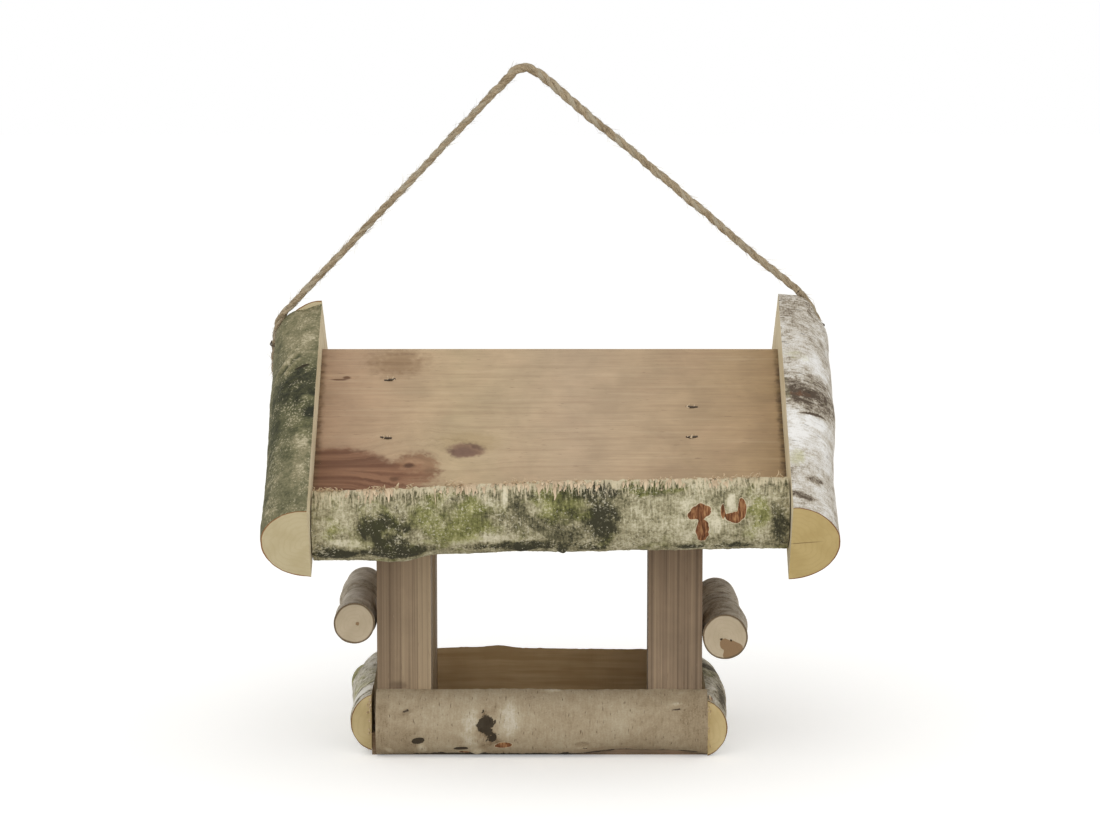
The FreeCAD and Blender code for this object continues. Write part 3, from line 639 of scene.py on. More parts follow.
@dataclass(frozen=True)
class EndGrain:
    """Freshly sawn end of a birch log: pale and smooth, with faint rings and a thin brown rim of bark.

    check is the angle in degrees at which a drying crack runs out from the middle, where there is one.
    """

    name: str
    wood: str
    ring: str
    rim: str = "#8a5f38"
    rim_width: float = 0.9
    ring_width: float = 3.2
    heart: str = "#8d6c4d"
    pit: str = "#3f3020"
    crack: str = "#6f5836"
    check: float | None = None

    def cracked(self, cut: Finish, flat: Socket, fibres: Socket) -> Socket:
        """Where the drying crack lies.

        Args:
            cut: the material, which grows.
            flat: the place on the cut, from its middle.
            fibres: the noise that the crack wanders with.

        Returns:
            Nearly 1 in the crack and 0 away from it.
        """
        turned = cut.add("Mapping", {"Vector": flat, "Rotation": (math.radians(self.check), 0.0, 0.0)})
        outward, aside = (cut.add("SeparateXYZ", [turned], letter) for letter in "YZ")
        aside = cut.add("Math", [fibres, 0.5, aside], operation="MULTIPLY_ADD")
        aside = cut.add("Math", [aside, 0.25], operation="SUBTRACT")
        aside = cut.add("Math", [aside], operation="ABSOLUTE")
        crack = cut.add("MapRange", span(aside, 0.45, 0.15, high=0.75))
        for start, full in ((19.0, 12.0), (0.5, 3.0)):
            run = cut.add("MapRange", span(outward, start, full))
            crack = cut.add("Math", [crack, run], operation="MULTIPLY")
        return crack

    def make(self) -> Material:
        """Grow the end grain's material.

        Returns:
            The material.
        """
        cut = Finish(self.name)
        place = cut.add("Attribute", output="Vector", attribute_name="measure")
        flat = cut.add("VectorMath", [place, (0.0, 1.0, 1.0)], operation="MULTIPLY")
        shake = cut.add("TexNoise", speckled(flat, 10.0, 3.0))
        fibres = cut.add("TexNoise", speckled(flat, 0.4545, 3.0))
        radius = cut.add("VectorMath", [flat], "Value", operation="LENGTH")
        wandering = cut.add("Math", [shake, 9.0, radius], operation="MULTIPLY_ADD")
        rings = cut.add("Math", [wandering, math.tau / self.ring_width], operation="MULTIPLY")
        rings = cut.add("Math", [rings], operation="SINE")
        coats = [Coat(shake, 0.4, 0.65, self.ring, 0.5), Coat(rings, 0.3, 1.0, self.ring, 0.28)]
        for stain, tint in ((Stain.SCAR, self.heart), (Stain.HOLE, self.pit)):
            mask = cut.add("Attribute", output="Fac", attribute_name=stain.value)
            mask = cut.add("Math", [shake, 0.4, mask], operation="MULTIPLY_ADD")
            coats.append(Coat(mask, 0.5, 0.62, tint))
        if self.check is not None:
            coats.append(Coat(self.cracked(cut, flat, fibres), 0.0, 1.0, self.crack))
        rim = cut.add("Attribute", output="Fac", attribute_name="rim")
        rim = cut.add("Math", [shake, -1.2, rim], operation="MULTIPLY_ADD")
        coats.append(Coat(rim, self.rim_width - 0.55, self.rim_width - 1.0, self.rim))
        colour, _ = cut.lay(self.wood, *coats)
        return cut.surface(colour, 0.8, fibres, 0.12, Specular_IOR_Level=0.25)


@dataclass(frozen=True)
class SawnBirch:
    """Birch sawn along its length: flat and fuzzy, with saw lines across it."""

    name: str
    wood: str
    shade: str

    def make(self) -> Material:
        """Grow the sawn face's material.

        Returns:
            The material.
        """
        sawn = Finish(self.name)
        place = sawn.add("Attribute", output="Vector", attribute_name="measure")
        grain = sawn.add("VectorMath", [place, (0.05, 1.0, 1.0)], operation="MULTIPLY")
        lines = sawn.add("TexNoise", speckled(grain, 2.0, 4.0))
        broad = sawn.add("TexNoise", speckled(place, 33.33, 3.0))
        mixed = sawn.add("Math", [lines, broad], operation="ADD")
        colour, _ = sawn.lay(self.shade, Coat(mixed, 0.8, 1.2, self.wood))
        teeth = sawn.add("VectorMath", [place, (1.0, 0.05, 0.05)], operation="MULTIPLY")
        saw = sawn.add("TexNoise", speckled(teeth, 1.25, 2.0))
        return sawn.surface(colour, 0.82, saw, 0.2, Specular_IOR_Level=0.2)


@dataclass(frozen=True)
class SpunJute:
    """Jute fibre spun into yarn: matt, hairy, beige and grey, with light fibres along it over a darker base,
    the shadow colour, which is painted shade between the fibres.
    """

    name: str = "spun_jute"
    fibre: str = "#b8a78b"
    shadow: str = "#7c6a50"
    grey: str = "#a39c89"

    def make(self) -> Material:
        """Grow the twine's material.

        Returns:
            The material.
        """
        jute = Finish(self.name)
        place = jute.add("Attribute", output="Vector", attribute_name="measure")
        drawn = jute.add("VectorMath", [place, (0.22, 1.0, 1.0)], operation="MULTIPLY")
        hairs = jute.add("TexNoise", speckled(drawn, 0.4167, 4.0, 0.65))
        uneven = jute.add("TexNoise", speckled(place, 11.11, 2.0))
        mixed = jute.add("Math", [uneven, 0.5, hairs], operation="MULTIPLY_ADD")
        colour, _ = jute.lay(
            self.shadow, Coat(mixed, 0.60, 0.86, self.fibre), Coat(uneven, 0.5, 0.62, self.grey, 0.6)
        )
        sheen = {"Sheen_Weight": 0.15, "Sheen_Roughness": 0.5}
        return jute.surface(colour, 0.9, hairs, 0.25, Specular_IOR_Level=0.15, **sheen)


@dataclass(frozen=True)
class GalvanisedWire:
    """Zinc-coated steel wire, gone dull outdoors: grey brown, with a weak soft gleam."""

    name: str = "galvanised_wire"
    zinc: str = "#54493b"
    rust: str = "#3f3024"
    spot_size: float = 1.111

    def make(self) -> Material:
        """Grow the wire's material.

        Returns:
            The material.
        """
        wire = Finish(self.name)
        at = wire.add("TexCoord", output="Object")
        spots = wire.add("TexNoise", speckled(at, self.spot_size * MM, 3.0))
        colour, _ = wire.lay(self.zinc, Coat(spots, 0.45, 0.6, self.rust))
        return wire.surface(colour, 0.55, spots, 0.03, Metallic=0.5)


@dataclass(frozen=True)
class TornFibre:
    """Fibres torn out of fresh birch by the saw: pale, dull and nearly white at their tips."""

    name: str = "torn_fibre"
    root: str = "#ad9679"
    tip: str = "#dac5a6"

    def make(self) -> Material:
        """Grow the splinters' material.

        Returns:
            The material.
        """
        torn = Finish(self.name)
        place = torn.add("Attribute", output="Vector", attribute_name="measure")
        share = torn.add("SeparateXYZ", [place], "X")
        tone = torn.add("TexNoise", speckled(place, 1.4286, 2.0))
        mixed = torn.add("Math", [share, 0.35, tone], operation="MULTIPLY_ADD", use_clamp=True)
        colour, _ = torn.lay(self.root, Coat(mixed, 0.4, 0.9, self.tip))
        return torn.surface(colour, 0.85, tone, 0.05, Specular_IOR_Level=0.2)


@dataclass(frozen=True)
class Seat:
    """A flat place that a piece is built on, with directions along it, out of it and up it."""

    origin: Array
    along: Array
    out: Array
    up: Array

    def at(self, along: Numbers, out: Numbers, up: Numbers) -> Array:
        """Places in the object's frame for distances along, out and up."""
        return self.origin + np.outer(along, self.along) + np.outer(out, self.out) + np.outer(up, self.up)

    def moved(self, up: float, turn: float) -> Seat:
        """The same seat moved up itself, and turned in its own plane.

        Args:
            up: how far, in millimetres.
            turn: the angle in degrees that raises its end.

        Returns:
            The new seat.
        """
        level, steep = math.cos(math.radians(turn)), math.sin(math.radians(turn))
        turned = (self.along * level + self.up * steep, self.out, self.up * level - self.along * steep)
        return Seat(self.origin + self.up * up, *turned)


def roof_seat(side: Side, across: Array) -> Seat:
    """A roof board's upper face: from the ridge down the roof, with a way along the ridge as its out."""
    level, steep = math.cos(ROOF_SLOPE), math.sin(ROOF_SLOPE)
    return Seat(xyz(0, 0, RIDGE_HEIGHT), xyz(0, side * level, -steep), across, xyz(0, side * steep, level))


@dataclass(frozen=True)
class Mark:
    """A mark on a log: what it is, where it lies, its half sizes along and round the log, and its lift.

    turn is in degrees, broken is how ragged its outline is, and rings is the spacing of the rings inside it.
    """

    stain: Stain
    place: Place
    half_along: float
    half_round: float
    strength: float = 1.0
    lift: float = 0.0
    turn: float = 0.0
    broken: float = 1.0
    rings: float = 0.0


DARK, PALE, MOSS, RUST, SCAR, HOLE = Stain

# How each log grew: the share of its length, then in millimetres how much thicker it is there, and how far
# its middle has drifted out of the seat and up it.
GROWTH: dict[str, tuple[tuple[float, float, float, float], ...]] = {
    "front_tray": (
        (-0.02, 0, 0, 0), (0.18, -0.3, 0, 0.2), (0.40, 0.1, 0, 0.1), (0.60, -0.2, 0, 0),
        (0.74, -1.5, 0.2, 1.4), (0.88, -1.4, 0.2, 1.3), (1.02, 0, 0, 0),
    ),
    "rear_tray": (
        (-0.02, -0.2, 0, -0.2), (0.30, 0.3, 0.3, 0.8), (0.36, 0.9, 0.4, 1.2), (0.44, 0.1, 0.1, 0.4),
        (0.75, -0.4, 0, 0.2), (1.02, 0, 0, 0),
    ),
    "left_tray": (
        (-0.02, -0.2, 0, 0), (0.15, 0.3, 0.2, 0), (0.32, -0.1, 0.2, 0), (0.48, 0.9, 0.6, 0.6),
        (0.60, 1.6, 1.4, 1.3), (0.72, 1.8, 1.6, 1.5), (0.85, 0.6, 0.6, 0.6), (1.02, 0.4, -0.2, 0.3),
    ),
    "right_tray": (
        (-0.02, 0.2, -0.8, 0), (0.18, 0.2, -0.8, 0.2), (0.40, 1, 0, 0.4), (0.60, 1.3, 0.8, 0.8),
        (0.80, 0.9, 0.6, 0.6), (1.02, 0.2, -0.4, 0.2),
    ),
    "front_left_gable": (
        (-0.02, -0.9, 0.3, -2.5), (0.15, -0.7, 0.4, -2.1), (0.22, 0.5, 1.1, -1.8), (0.32, 0.1, 0.9, -1.3),
        (0.45, 0.3, 0.7, -0.7), (0.53, 0.1, 0.6, -0.5), (0.61, -0.3, 0.2, -0.3), (0.82, -0.4, 0.3, -0.2),
        (0.95, 0, 0.5, -0.3), (1.02, -0.8, 0.6, -0.4),
    ),
    "front_right_gable": (
        (-0.02, 0.9, 0.2, 0.1), (0.14, 1, 0.3, 0.1), (0.22, 1.3, 0.7, 0.2), (0.32, 1.6, 1, 0.3),
        (0.50, 1.6, 0.9, 0.2), (0.58, 1.2, 0.8, 0.1), (0.67, 0.6, -0.2, 0), (0.78, 0.5, -1.1, 0.2),
        (0.90, 1, -1.2, 0.2), (1.02, 1.9, -1.6, -0.3),
    ),
    "rear_left_gable": (
        (-0.02, -0.8, 0.3, -1.7), (0.25, -0.4, 0.2, -1), (0.55, -1, 0, 0), (0.80, -0.2, 0.2, 0.2),
        (1.02, 0.2, 0, 0.3),
    ),
    "rear_right_gable": (
        (-0.02, 0.6, 0, 0.2), (0.30, 0.2, -0.4, 0.4), (0.50, 0.9, -0.2, 0), (0.78, 0.1, 0, -0.3),
        (1.02, 0.6, -0.4, 0.6),
    ),
    "front_eave": (
        (-0.02, -0.5, 0, -0.4), (0.10, 0.1, 0, -0.8), (0.19, 0.9, 0.2, -1.2), (0.25, -1.2, 1.2, 1.4),
        (0.42, -1.3, 1.3, 2.1), (0.55, 0, 0.4, 1.1), (0.65, -0.5, 0.6, 1.2), (0.80, 0.2, 0, 0.1),
        (1.02, 0.4, 0, -0.6),
    ),
    "rear_eave": (
        (-0.02, 0.3, 0, 0), (0.30, -0.2, 0, 0.4), (0.55, 0.4, 0.2, 0), (0.80, -0.3, 0, -0.3),
        (1.02, -0.6, 0, 0.2),
    ),
    "left_perch": (
        (0, 0.4, 0, 0), (0.13, 0.3, 0, 0.1), (0.19, -1.2, -0.8, 0.5), (0.27, -0.4, -0.5, 0.6),
        (0.34, -0.8, -0.4, 0.5), (0.60, -0.2, -0.3, 0.1), (0.78, 1.2, -0.1, 0.3), (0.88, 0.4, 0, 0),
        (1, 0.2, 0, 0.2),
    ),
    "right_perch": (
        (0, 0.6, 0.2, -0.4), (0.10, 0.5, 0.3, -0.2), (0.25, 1.2, 0.8, 0.2), (0.45, 0.5, 0.1, 0.3),
        (0.56, -0.2, -0.2, 0), (0.80, 0.4, 0, 0.2), (1, 0.1, 0, 0),
    ),
}

# The marks that the photograph shows on each log, and a few like them at the rear, each with a Mark's fields.
MARKS: dict[str, tuple[tuple, ...]] = {
    "front_left_gable": (
        (PALE, (-131, -18, 228), 26, 20, 0.42), (HOLE, (-131.9, -42.5, 209.4), 1.3, 5, 0.9, -0.5, 12),
        (DARK, (-132.4, -55, 200.5), 15, 20, 0.6, 0.5, 8, 1.3),
        (DARK, (-136.3, -54, 200), 10, 14, 0.7, 1.2, 0, 0.6, 4.6),
        (PALE, (-141, -33, 208.5), 2.6, 14, 0.75, 0.9, 38), (PALE, (-138, -39, 208), 2, 10, 0.5, 0.9, 44),
        (DARK, (-139, -36, 209.5), 1.4, 12, 0.5, -0.4, 40),
        (PALE, (-127.5, -63, 194.5), 2.4, 5, 0.8, 0.6, -20), (PALE, (-144, -1, 227), 12, 14, 0, 2.4, 0, 0.3),
        (PALE, (-131.5, 0, 238), 6, 9, 0, -1.3, 0, 0.3), (MOSS, (-137, -66, 189), 34, 32, 0.24),
        (DARK, (-125.8, -72.6, 189.7), 5, 7, 0.8), (RUST, (-126, -60, 195.5), 5, 5, 0.15),
        (PALE, (-130.6, -95.5, 172.7), 26, 5.5, 0.5, 0.3), (PALE, (-134.8, -108, 162), 12, 10, 0.35, 0.3),
        (PALE, (-127.5, -33, 214.5), 2.2, 7, 0.8, 0.4), (DARK, (-146, -60, 185), 60, 6, 0.3),
    ),
    "front_right_gable": (
        (DARK, (136.3, -60, 197), 15, 34, 0.47, 0.8, 8, 1.3),
        (DARK, (136.5, -61.3, 196.2), 11, 17, 0.9, 0.9, 0, 0.45, 2.9),
        (DARK, (136.5, -61.3, 196.2), 3.2, 5, 1.3, -0.4, 0, 1), (RUST, (134, -62.5, 195.6), 3, 6, 0.42),
        (DARK, (130, -56, 201), 9, 5, 0.6), (DARK, (139.5, -71.5, 188.5), 0.9, 10, 1.3, -0.3, 14, 0.6),
        (PALE, (140, -76, 185.5), 4.5, 16, 0.7, 0.3, 10), (MOSS, (136.3, -57.9, 198.4), 11, 30, 0.10),
        (PALE, (147.5, -3, 222), 14, 10, 0, 1.2, 0, 0.3), (DARK, (146.5, -55, 190), 8, 10, 0.45, 0.6),
        (HOLE, (136, -60.6, 196.6), 1, 2.6, 0.9, 0.4), (RUST, (129.5, -64.4, 196.3), 2.2, 5, 0.5),
        (DARK, (130.9, -6.4, 239.6), 12, 26, 0.26), (DARK, (128.5, -14, 234), 8, 10, 0.25),
        (PALE, (142.5, -37.7, 207.7), 10, 12, 0.38), (PALE, (128.8, -82.8, 184.2), 14, 10, 0.6),
        (PALE, (140, -92, 170), 16, 12, 0.42), (MOSS, (127.6, -101, 170.5), 8, 6, 0.28),
        (MOSS, (131.6, -39.3, 214.4), 5, 9, 0.22), (DARK, (137.3, -112.1, 159.5), 3.6, 7, 0.62, 0.5, 8, 1.8),
        (DARK, (129.6, -125.4, 153.5), 2.8, 9, 0.62, 0.3, -6, 1.8),
        (DARK, (147, -106, 158), 22, 6, 0.12, 0, 10), (PALE, (141, -3, 244), 10, 11, 0, 2.6, 0, 0.3),
    ),
    "rear_left_gable": (
        (PALE, (-134, 30, 218), 30, 26, 0.4), (DARK, (-140, 88, 172), 26, 22, 0.7),
    ),
    "rear_right_gable": (
        (DARK, (138, 70, 188), 8, 26, 0.7, 0.6, 10), (PALE, (134, 100, 171), 22, 16, 0.4),
    ),
    "front_eave": (
        (MOSS, (-86, -110, 130), 40, 24, 0.10), (PALE, (-60, -101.5, 158), 66, 7, 0.26, 0, 0, 1.2),
        (PALE, (60, -102, 160), 64, 6, 0.22, 0, 0, 1.2), (DARK, (-86.8, -109.6, 131), 15, 12, 0.85, 0.5),
        (DARK, (-80.8, -105, 121.6), 19, 6.5, 1, 1), (DARK, (-113, -103, 120), 14, 6, 1, 0.6),
        (PALE, (-104, -106.3, 124.8), 14, 4.5, 0.75, 0.3),
        (PALE, (-84, -109.3, 131), 5, 3.5, 0.7, 0.3, 0, 1.6), (PALE, (-113, -107, 141), 14, 12, 0.25),
        (MOSS, (-53, -110.9, 138), 24, 17, 0.26), (MOSS, (8, -111.5, 147.5), 20, 13, 0.26),
        (DARK, (-8, -112, 141), 22, 12, 0.35), (DARK, (-10.4, -106.5, 124.5), 34, 4, 0.7),
        (DARK, (22, -109, 153), 17, 6, 0.75), (DARK, (27, -113.4, 138.5), 9, 14, 0.85, -0.3),
        (DARK, (12, -113, 133), 20, 12, 0.30), (MOSS, (52, -109.1, 155), 18, 5, 0.42),
        (DARK, (50, -109.3, 154.6), 18, 5, 0.45), (PALE, (66, -113.5, 140), 26, 20, 0.22),
        (PALE, (-23.4, -109.8, 149.5), 1.6, 8, 0.9, 0.25), (PALE, (-5.2, -112.5, 144.8), 9, 5, 0.6),
        (PALE, (-35, -108.5, 127), 22, 4.5, 0.45), (PALE, (100, -114, 139), 22, 15, 0.12),
        (SCAR, (77.2, -114.5, 143.2), 6.6, 4.6, 1, -0.5, 22, 0.8),
        (SCAR, (78.9, -112.7, 133), 3.6, 7.6, 1, -0.5, -4, 0.8),
        (SCAR, (99.3, -114.5, 145.4), 2.4, 6.6, 1, -0.5, 0, 0.8),
        (SCAR, (95.4, -114.9, 140.2), 5, 3.2, 1, -0.5, -14, 0.8),
        (SCAR, (89.6, -114.8, 143.6), 1.3, 4.6, 0.9, -0.3), (PALE, (94, -114.2, 148.6), 3.6, 5.2, 0.9, 0.8),
        (PALE, (85.2, -114, 136.5), 4.5, 8.5, 0.7), (MOSS, (108.8, -115.1, 143.2), 7, 10, 0.28),
        (DARK, (119.2, -114.5, 136.2), 5, 15, 0.6), (DARK, (73.1, -104.6, 123.8), 9, 3, 0.9, 0.4),
        (DARK, (-14, -105, 122.5), 7, 4, 1, 1.5, 0, 1.4), (DARK, (6.3, -105, 122.5), 3.6, 4, 1, 2.6, 0, 1.2),
        (DARK, (22, -105, 122.5), 10, 4, 0.8, 1, 0, 1.4), (DARK, (92, -105.5, 124), 14, 3, 0.6, 0.5, 0, 1.6),
    ),
    "rear_eave": (
        (DARK, (-40, 110, 138), 26, 16, 0.6), (MOSS, (60, 110, 140), 40, 20, 0.3),
    ),
    "front_tray": (
        (HOLE, (-34, -68.4, 19.6), 5.6, 8.4, 0.68, -0.4, 12, 1.6),
        (HOLE, (-34.4, -68.6, 21), 2.2, 4, 0.8, -0.4, 12, 1.4),
        (HOLE, (-31.4, -67.6, 13), 3.4, 5.2, 0.55, -0.4, -28, 1.6),
        (HOLE, (-30.6, -67.2, 12), 1.6, 2.4, 0.9, -0.4, -28, 1.4),
        (HOLE, (-29.4, -68.6, 21.6), 1.1, 2, 0.8, -0.2), (DARK, (-33, -68.1, 18), 8, 14, 0.9, 0, 0, 1.4),
        (PALE, (-24, -68.3, 22.4), 8.5, 10, 1, 0.2, 0, 1.3), (PALE, (-42, -68, 17), 5.5, 15, 1, 0.2, 0, 1.4),
        (PALE, (-35.4, -67.4, 11), 1.8, 4, 0.8, 0.3, 30, 1.4), (DARK, (-86, -64, 8), 18, 16, 0.5),
        (DARK, (82, -66, 18), 16, 28, 0.7), (DARK, (62, -66, 16), 26, 20, 0.3),
        (DARK, (60, -62, 6), 40, 5, 0.3), (RUST, (10, -60, 4), 80, 5, 0.35),
        (HOLE, (-70.9, -66.6, 10.5), 3.9, 2.5, 1, -0.5, 12, 0.6),
        (PALE, (-68.8, -62.8, 5.6), 3, 4, 0.9, 1.1, 24, 0.5),
        (HOLE, (-47.4, -63, 5.8), 5, 1.6, 1, -0.5, 6, 0.8), (SCAR, (-46, -60.5, 3), 4, 1.2, 0.7, 0, 0, 0.7),
        (PALE, (-39.4, -61, 3.8), 3.4, 3.4, 1, 1.2, -30, 0.5),
        (SCAR, (-25.2, -65.4, 8), 5.4, 2.3, 1, -0.2, 8, 0.6), (PALE, (-87, -62, 6), 2, 4.5, 0.9, 0.6, 30),
        (DARK, (-80, -62, 7), 14, 4, 0.5), (PALE, (1.5, -54.8, 35.4), 5.5, 2, 1, 0.4, 0, 0.5),
        # The long HOLE mark paints a dark line along the log's bottom edge: torn bark, and painted shade
        # where the log turns under.
        (HOLE, (-14, -55.6, 0.6), 84, 5.2, 0.72, 0, 0, 1.7), (HOLE, (74, -58, 3), 9, 1.4, 0.9, 0, 10),
        (DARK, (-90, -66, 18), 4, 24, 0.5), (DARK, (-77, -66.2, 26.5), 4.6, 2, 0.5, -0.8, 22, 0.3),
        (DARK, (68, -64.4, 28.5), 4.6, 2, 0.5, -0.8, 4, 0.3),
        (PALE, (68, -64, 30.6), 4, 1.2, 1, 0.3, 4, 0.3),
        (DARK, (17.2, -64.8, 8), 4.6, 2.4, 0.5, -0.8, 0, 0.3), (PALE, (42, -67, 22), 20, 10, 0.22),
        (PALE, (66, -65, 30), 7, 3, 0.35, 0.3),
    ),
    "rear_tray": (
        (HOLE, (30, 66, 20), 4, 3, 1, -0.4), (PALE, (-40, 68, 20), 14, 9, 0.4),
    ),
    "left_tray": (
        (PALE, (-102, -38, 31.5), 8, 16, 0.7), (DARK, (-101, -47, 31.5), 1.8, 13, 0.75, -0.3, 8),
        (DARK, (-103, -24, 31), 2.6, 13, 0.7, -0.3, -6), (MOSS, (-104, -10, 32), 16, 14, 0.22),
        (MOSS, (-110, 18, 29), 10, 9, 0.5, 1.5), (DARK, (-112.5, -30, 14), 26, 10, 0.75, 0.6),
    ),
    "right_tray": (
        (DARK, (97, -24, 26), 26, 7, 0.7, 0.4), (PALE, (91, -30, 30.5), 24, 7, 0.3),
        (MOSS, (88, 10, 32), 16, 8, 0.25), (RUST, (87.6, -48, 30.8), 8, 2.2, 0.8),
        (DARK, (88.5, 24, 32.5), 10, 10, 0.6, 0.8),
    ),
    "left_perch": (
        (HOLE, (-104, 0, 82.5), 1, 40, 0.6, -1, 6, 0.4), (DARK, (-104, 8, 82.5), 5.5, 40, 0.1, 1.5, 6, 0.5),
        (DARK, (-104, -2, 82.5), 4, 40, 0.45, 0, 6), (PALE, (-108, 26, 81), 18, 12, 0.35),
        (PALE, (-104, -28, 82), 26, 24, 0.34), (DARK, (-104, -40, 83), 3, 40, 0.1, 0.8, -8),
        (SCAR, (-103.6, -55, 72.4), 3, 1.6, 0.45),
    ),
    "right_perch": (
        (SCAR, (98.6, -55, 57.6), 4, 6.2, 0.9, 0, 0, 0.7), (SCAR, (94.5, -55, 61), 4, 3.4, 0.9, 0, 0, 0.7),
        (HOLE, (92, -55, 63.6), 3, 0.8, 0.8), (HOLE, (97.5, -55, 63.2), 3, 0.7, 0.8),
        (DARK, (96, 14, 77), 1.2, 40, 0.6, -0.6, 5, 0.5), (DARK, (96, -8, 77), 1, 40, 0.5, -0.4, -5, 0.5),
        (DARK, (96, 40, 77), 24, 40, 0.25), (DARK, (96, -22, 77), 44, 40, 0.24),
    ),
}


@dataclass(frozen=True)
class LogLook:
    """How a log is dressed: its materials, and how far its bark stands up in each way, in millimetres."""

    seed: int
    bark: Material
    cut: Material
    sawn: Material
    lumps: float = 0.45
    grain: float = 0.16
    flakes: float = 0.0
    creases: float = 0.0
    ragged: float = 0.5


@dataclass
class Log:
    """A birch log, whole or split on its seat, with its bark in relief and its ends sawn.

    Its ends are square to it, or plumb at the ridge, or square to the ridge at square_x from the middle.
    """

    key: str
    seat: Seat
    start: float
    end: float
    radius: float
    depth: float
    height: float
    look: LogLook
    ground: bool = False
    plumb: bool = False
    whole: bool = False
    square_x: float = 0.0
    step: float = 0.9
    flat_lines: int = 7
    end_rings: tuple[float, ...] = (0.97, 0.93, 0.87, 0.79, 0.7, 0.6, 0.5, 0.4, 0.3, 0.2, 0.1, 0.0)
    lump_size: float = 17.0
    grain_size: float = 3.1
    flake_size: float = 2.4
    crease_size: float = 3.4
    round_stretch: float = 0.14
    mark_edge_size: float = 3.6
    mark_edge: float = 0.42
    clear_of_edge: float = 99.0
    clear_of_rim: float = 20.0

    def rings(self, along: Array) -> tuple[Array, Array, Array]:
        """The log's round at distances along it.

        Args:
            along: the distances.

        Returns:
            Its radius, and its middle's distances out of the seat and up it.
        """
        share = (along - self.start) / (self.end - self.start)
        table = np.array(GROWTH[self.key])
        slot = np.clip(np.searchsorted(table[:, 0], share) - 1, 0, len(table) - 2)
        local = np.clip((share - table[slot, 0]) / (table[slot + 1, 0] - table[slot, 0]), 0, 1)
        soft = 0.5 * local + 0.5 * ease(0, 1, local)
        values = table[slot] + (table[slot + 1] - table[slot]) * soft[:, None]
        return self.radius + values[:, 1], self.depth - self.radius + values[:, 2], self.height + values[:, 3]

    def section(self, along: Array, turn: Array, lift: Numbers = 0.0) -> tuple[Array, ...]:
        """A point of the bark for each distance along and turn from -1 to 1.

        Args:
            along: the distances along the log.
            turn: -1 and 1 are the two edges of the sawn face.
            lift: how far off the bark.

        Returns:
            The angle round the log, and the point's distances out of the seat and up it.
        """
        radius, out, up = self.rings(along)
        limit = np.full(len(along), math.pi) if self.whole else np.arccos(np.clip(-out / radius, -1, 1))
        angle = turn * limit
        return angle, out + (radius + lift) * np.cos(angle), up + (radius + lift) * np.sin(angle)

    def cut_at(self, tip: int, up: Array) -> Array:
        """How far along the log a saw cut lies.

        Args:
            tip: -1 for the cut at the log's start and 1 for the one at its end.
            up: distances up the seat.

        Returns:
            One distance along the log for each of them.
        """
        if self.plumb and tip < 0:
            return -up * math.tan(ROOF_SLOPE)
        if self.square_x:
            return (tip * self.square_x - self.seat.origin[0] - up * self.seat.up[0]) / self.seat.along[0]
        return np.full(len(up), self.start if tip < 0 else self.end)

    def stained(self, points: Array) -> tuple[dict[str, Array], Array]:
        """What the marks do at some points.

        Args:
            points: their places, one row each.

        Returns:
            How strong each stain is there, and how far the marks lift the bark.
        """
        masks = {stain.value: np.zeros(len(points)) for stain in Stain}
        lift = np.zeros(len(points))
        for number, mark in enumerate(Mark(*row) for row in MARKS[self.key]):
            place = np.array(mark.place)
            _, out, up = self.rings(np.array([(place - self.seat.origin) @ self.seat.along]))
            radial = unit(place - self.seat.at((place - self.seat.origin) @ self.seat.along, out, up)[0])
            offset, angle = points - place, math.radians(mark.turn)
            cosine, sine = math.cos(angle), math.sin(angle)
            run, rise = offset @ self.seat.along, offset @ np.cross(radial, self.seat.along)
            run, rise = run * cosine + rise * sine, rise * cosine - run * sine
            deep = offset @ radial / mark.half_round
            reach = np.sqrt((run / mark.half_along) ** 2 + (rise / mark.half_round) ** 2 + deep**2)
            wobble = fractal_noise(points, self.mark_edge_size, self.look.seed * 50 + number)
            wobble = wobble * self.mark_edge * mark.broken
            inside = (1 - ease(0.5, 1.2, reach + wobble)) * mark.strength
            shape = 1 - ease(0.3, 1.15, reach + 0.3 * wobble)
            if mark.rings:
                inside *= 0.55 + 0.45 * np.sin(math.tau * (reach * mark.half_along + 2 * wobble) / mark.rings)
                shape *= inside / mark.strength
            masks[mark.stain.value] = np.maximum(masks[mark.stain.value], inside)
            lift += mark.lift * shape
        return masks, lift

    def relief(self, solid: Array, along: Array, arc: Array) -> Array:
        """How far the bark stands off its round, in swellings, grain, flakes and creases.

        Args:
            solid: the points' places.
            along: their distances along the log.
            arc: their distances round it.

        Returns:
            One height for each point.
        """
        look = self.look
        wrapped = xyz(along, arc * self.round_stretch)
        total = fractal_noise(solid, self.lump_size, look.seed) * look.lumps
        total += fractal_noise(solid, self.grain_size, look.seed + 7) * look.grain
        if look.flakes:
            total += np.abs(fractal_noise(wrapped, self.flake_size, look.seed + 5, 2)) * look.flakes
        if look.creases:
            total += lattice_noise(wrapped, self.crease_size, look.seed + 3) * look.creases
        return total

    def grow_bark(self, shell: Shell) -> tuple[Array, Array]:
        """Add the corners of the bark, row by row along the log.

        Args:
            shell: the log's shell, which grows.

        Returns:
            The corners' numbers, and how far up the seat each lies, both as a grid.
        """
        around = int(math.pi * self.radius * (2 if self.whole else 1.05) / self.step)
        rows = int((self.end - self.start) / self.step) + 1
        turns = np.linspace(-1, 1, around + 1)[: around if self.whole else around + 1]
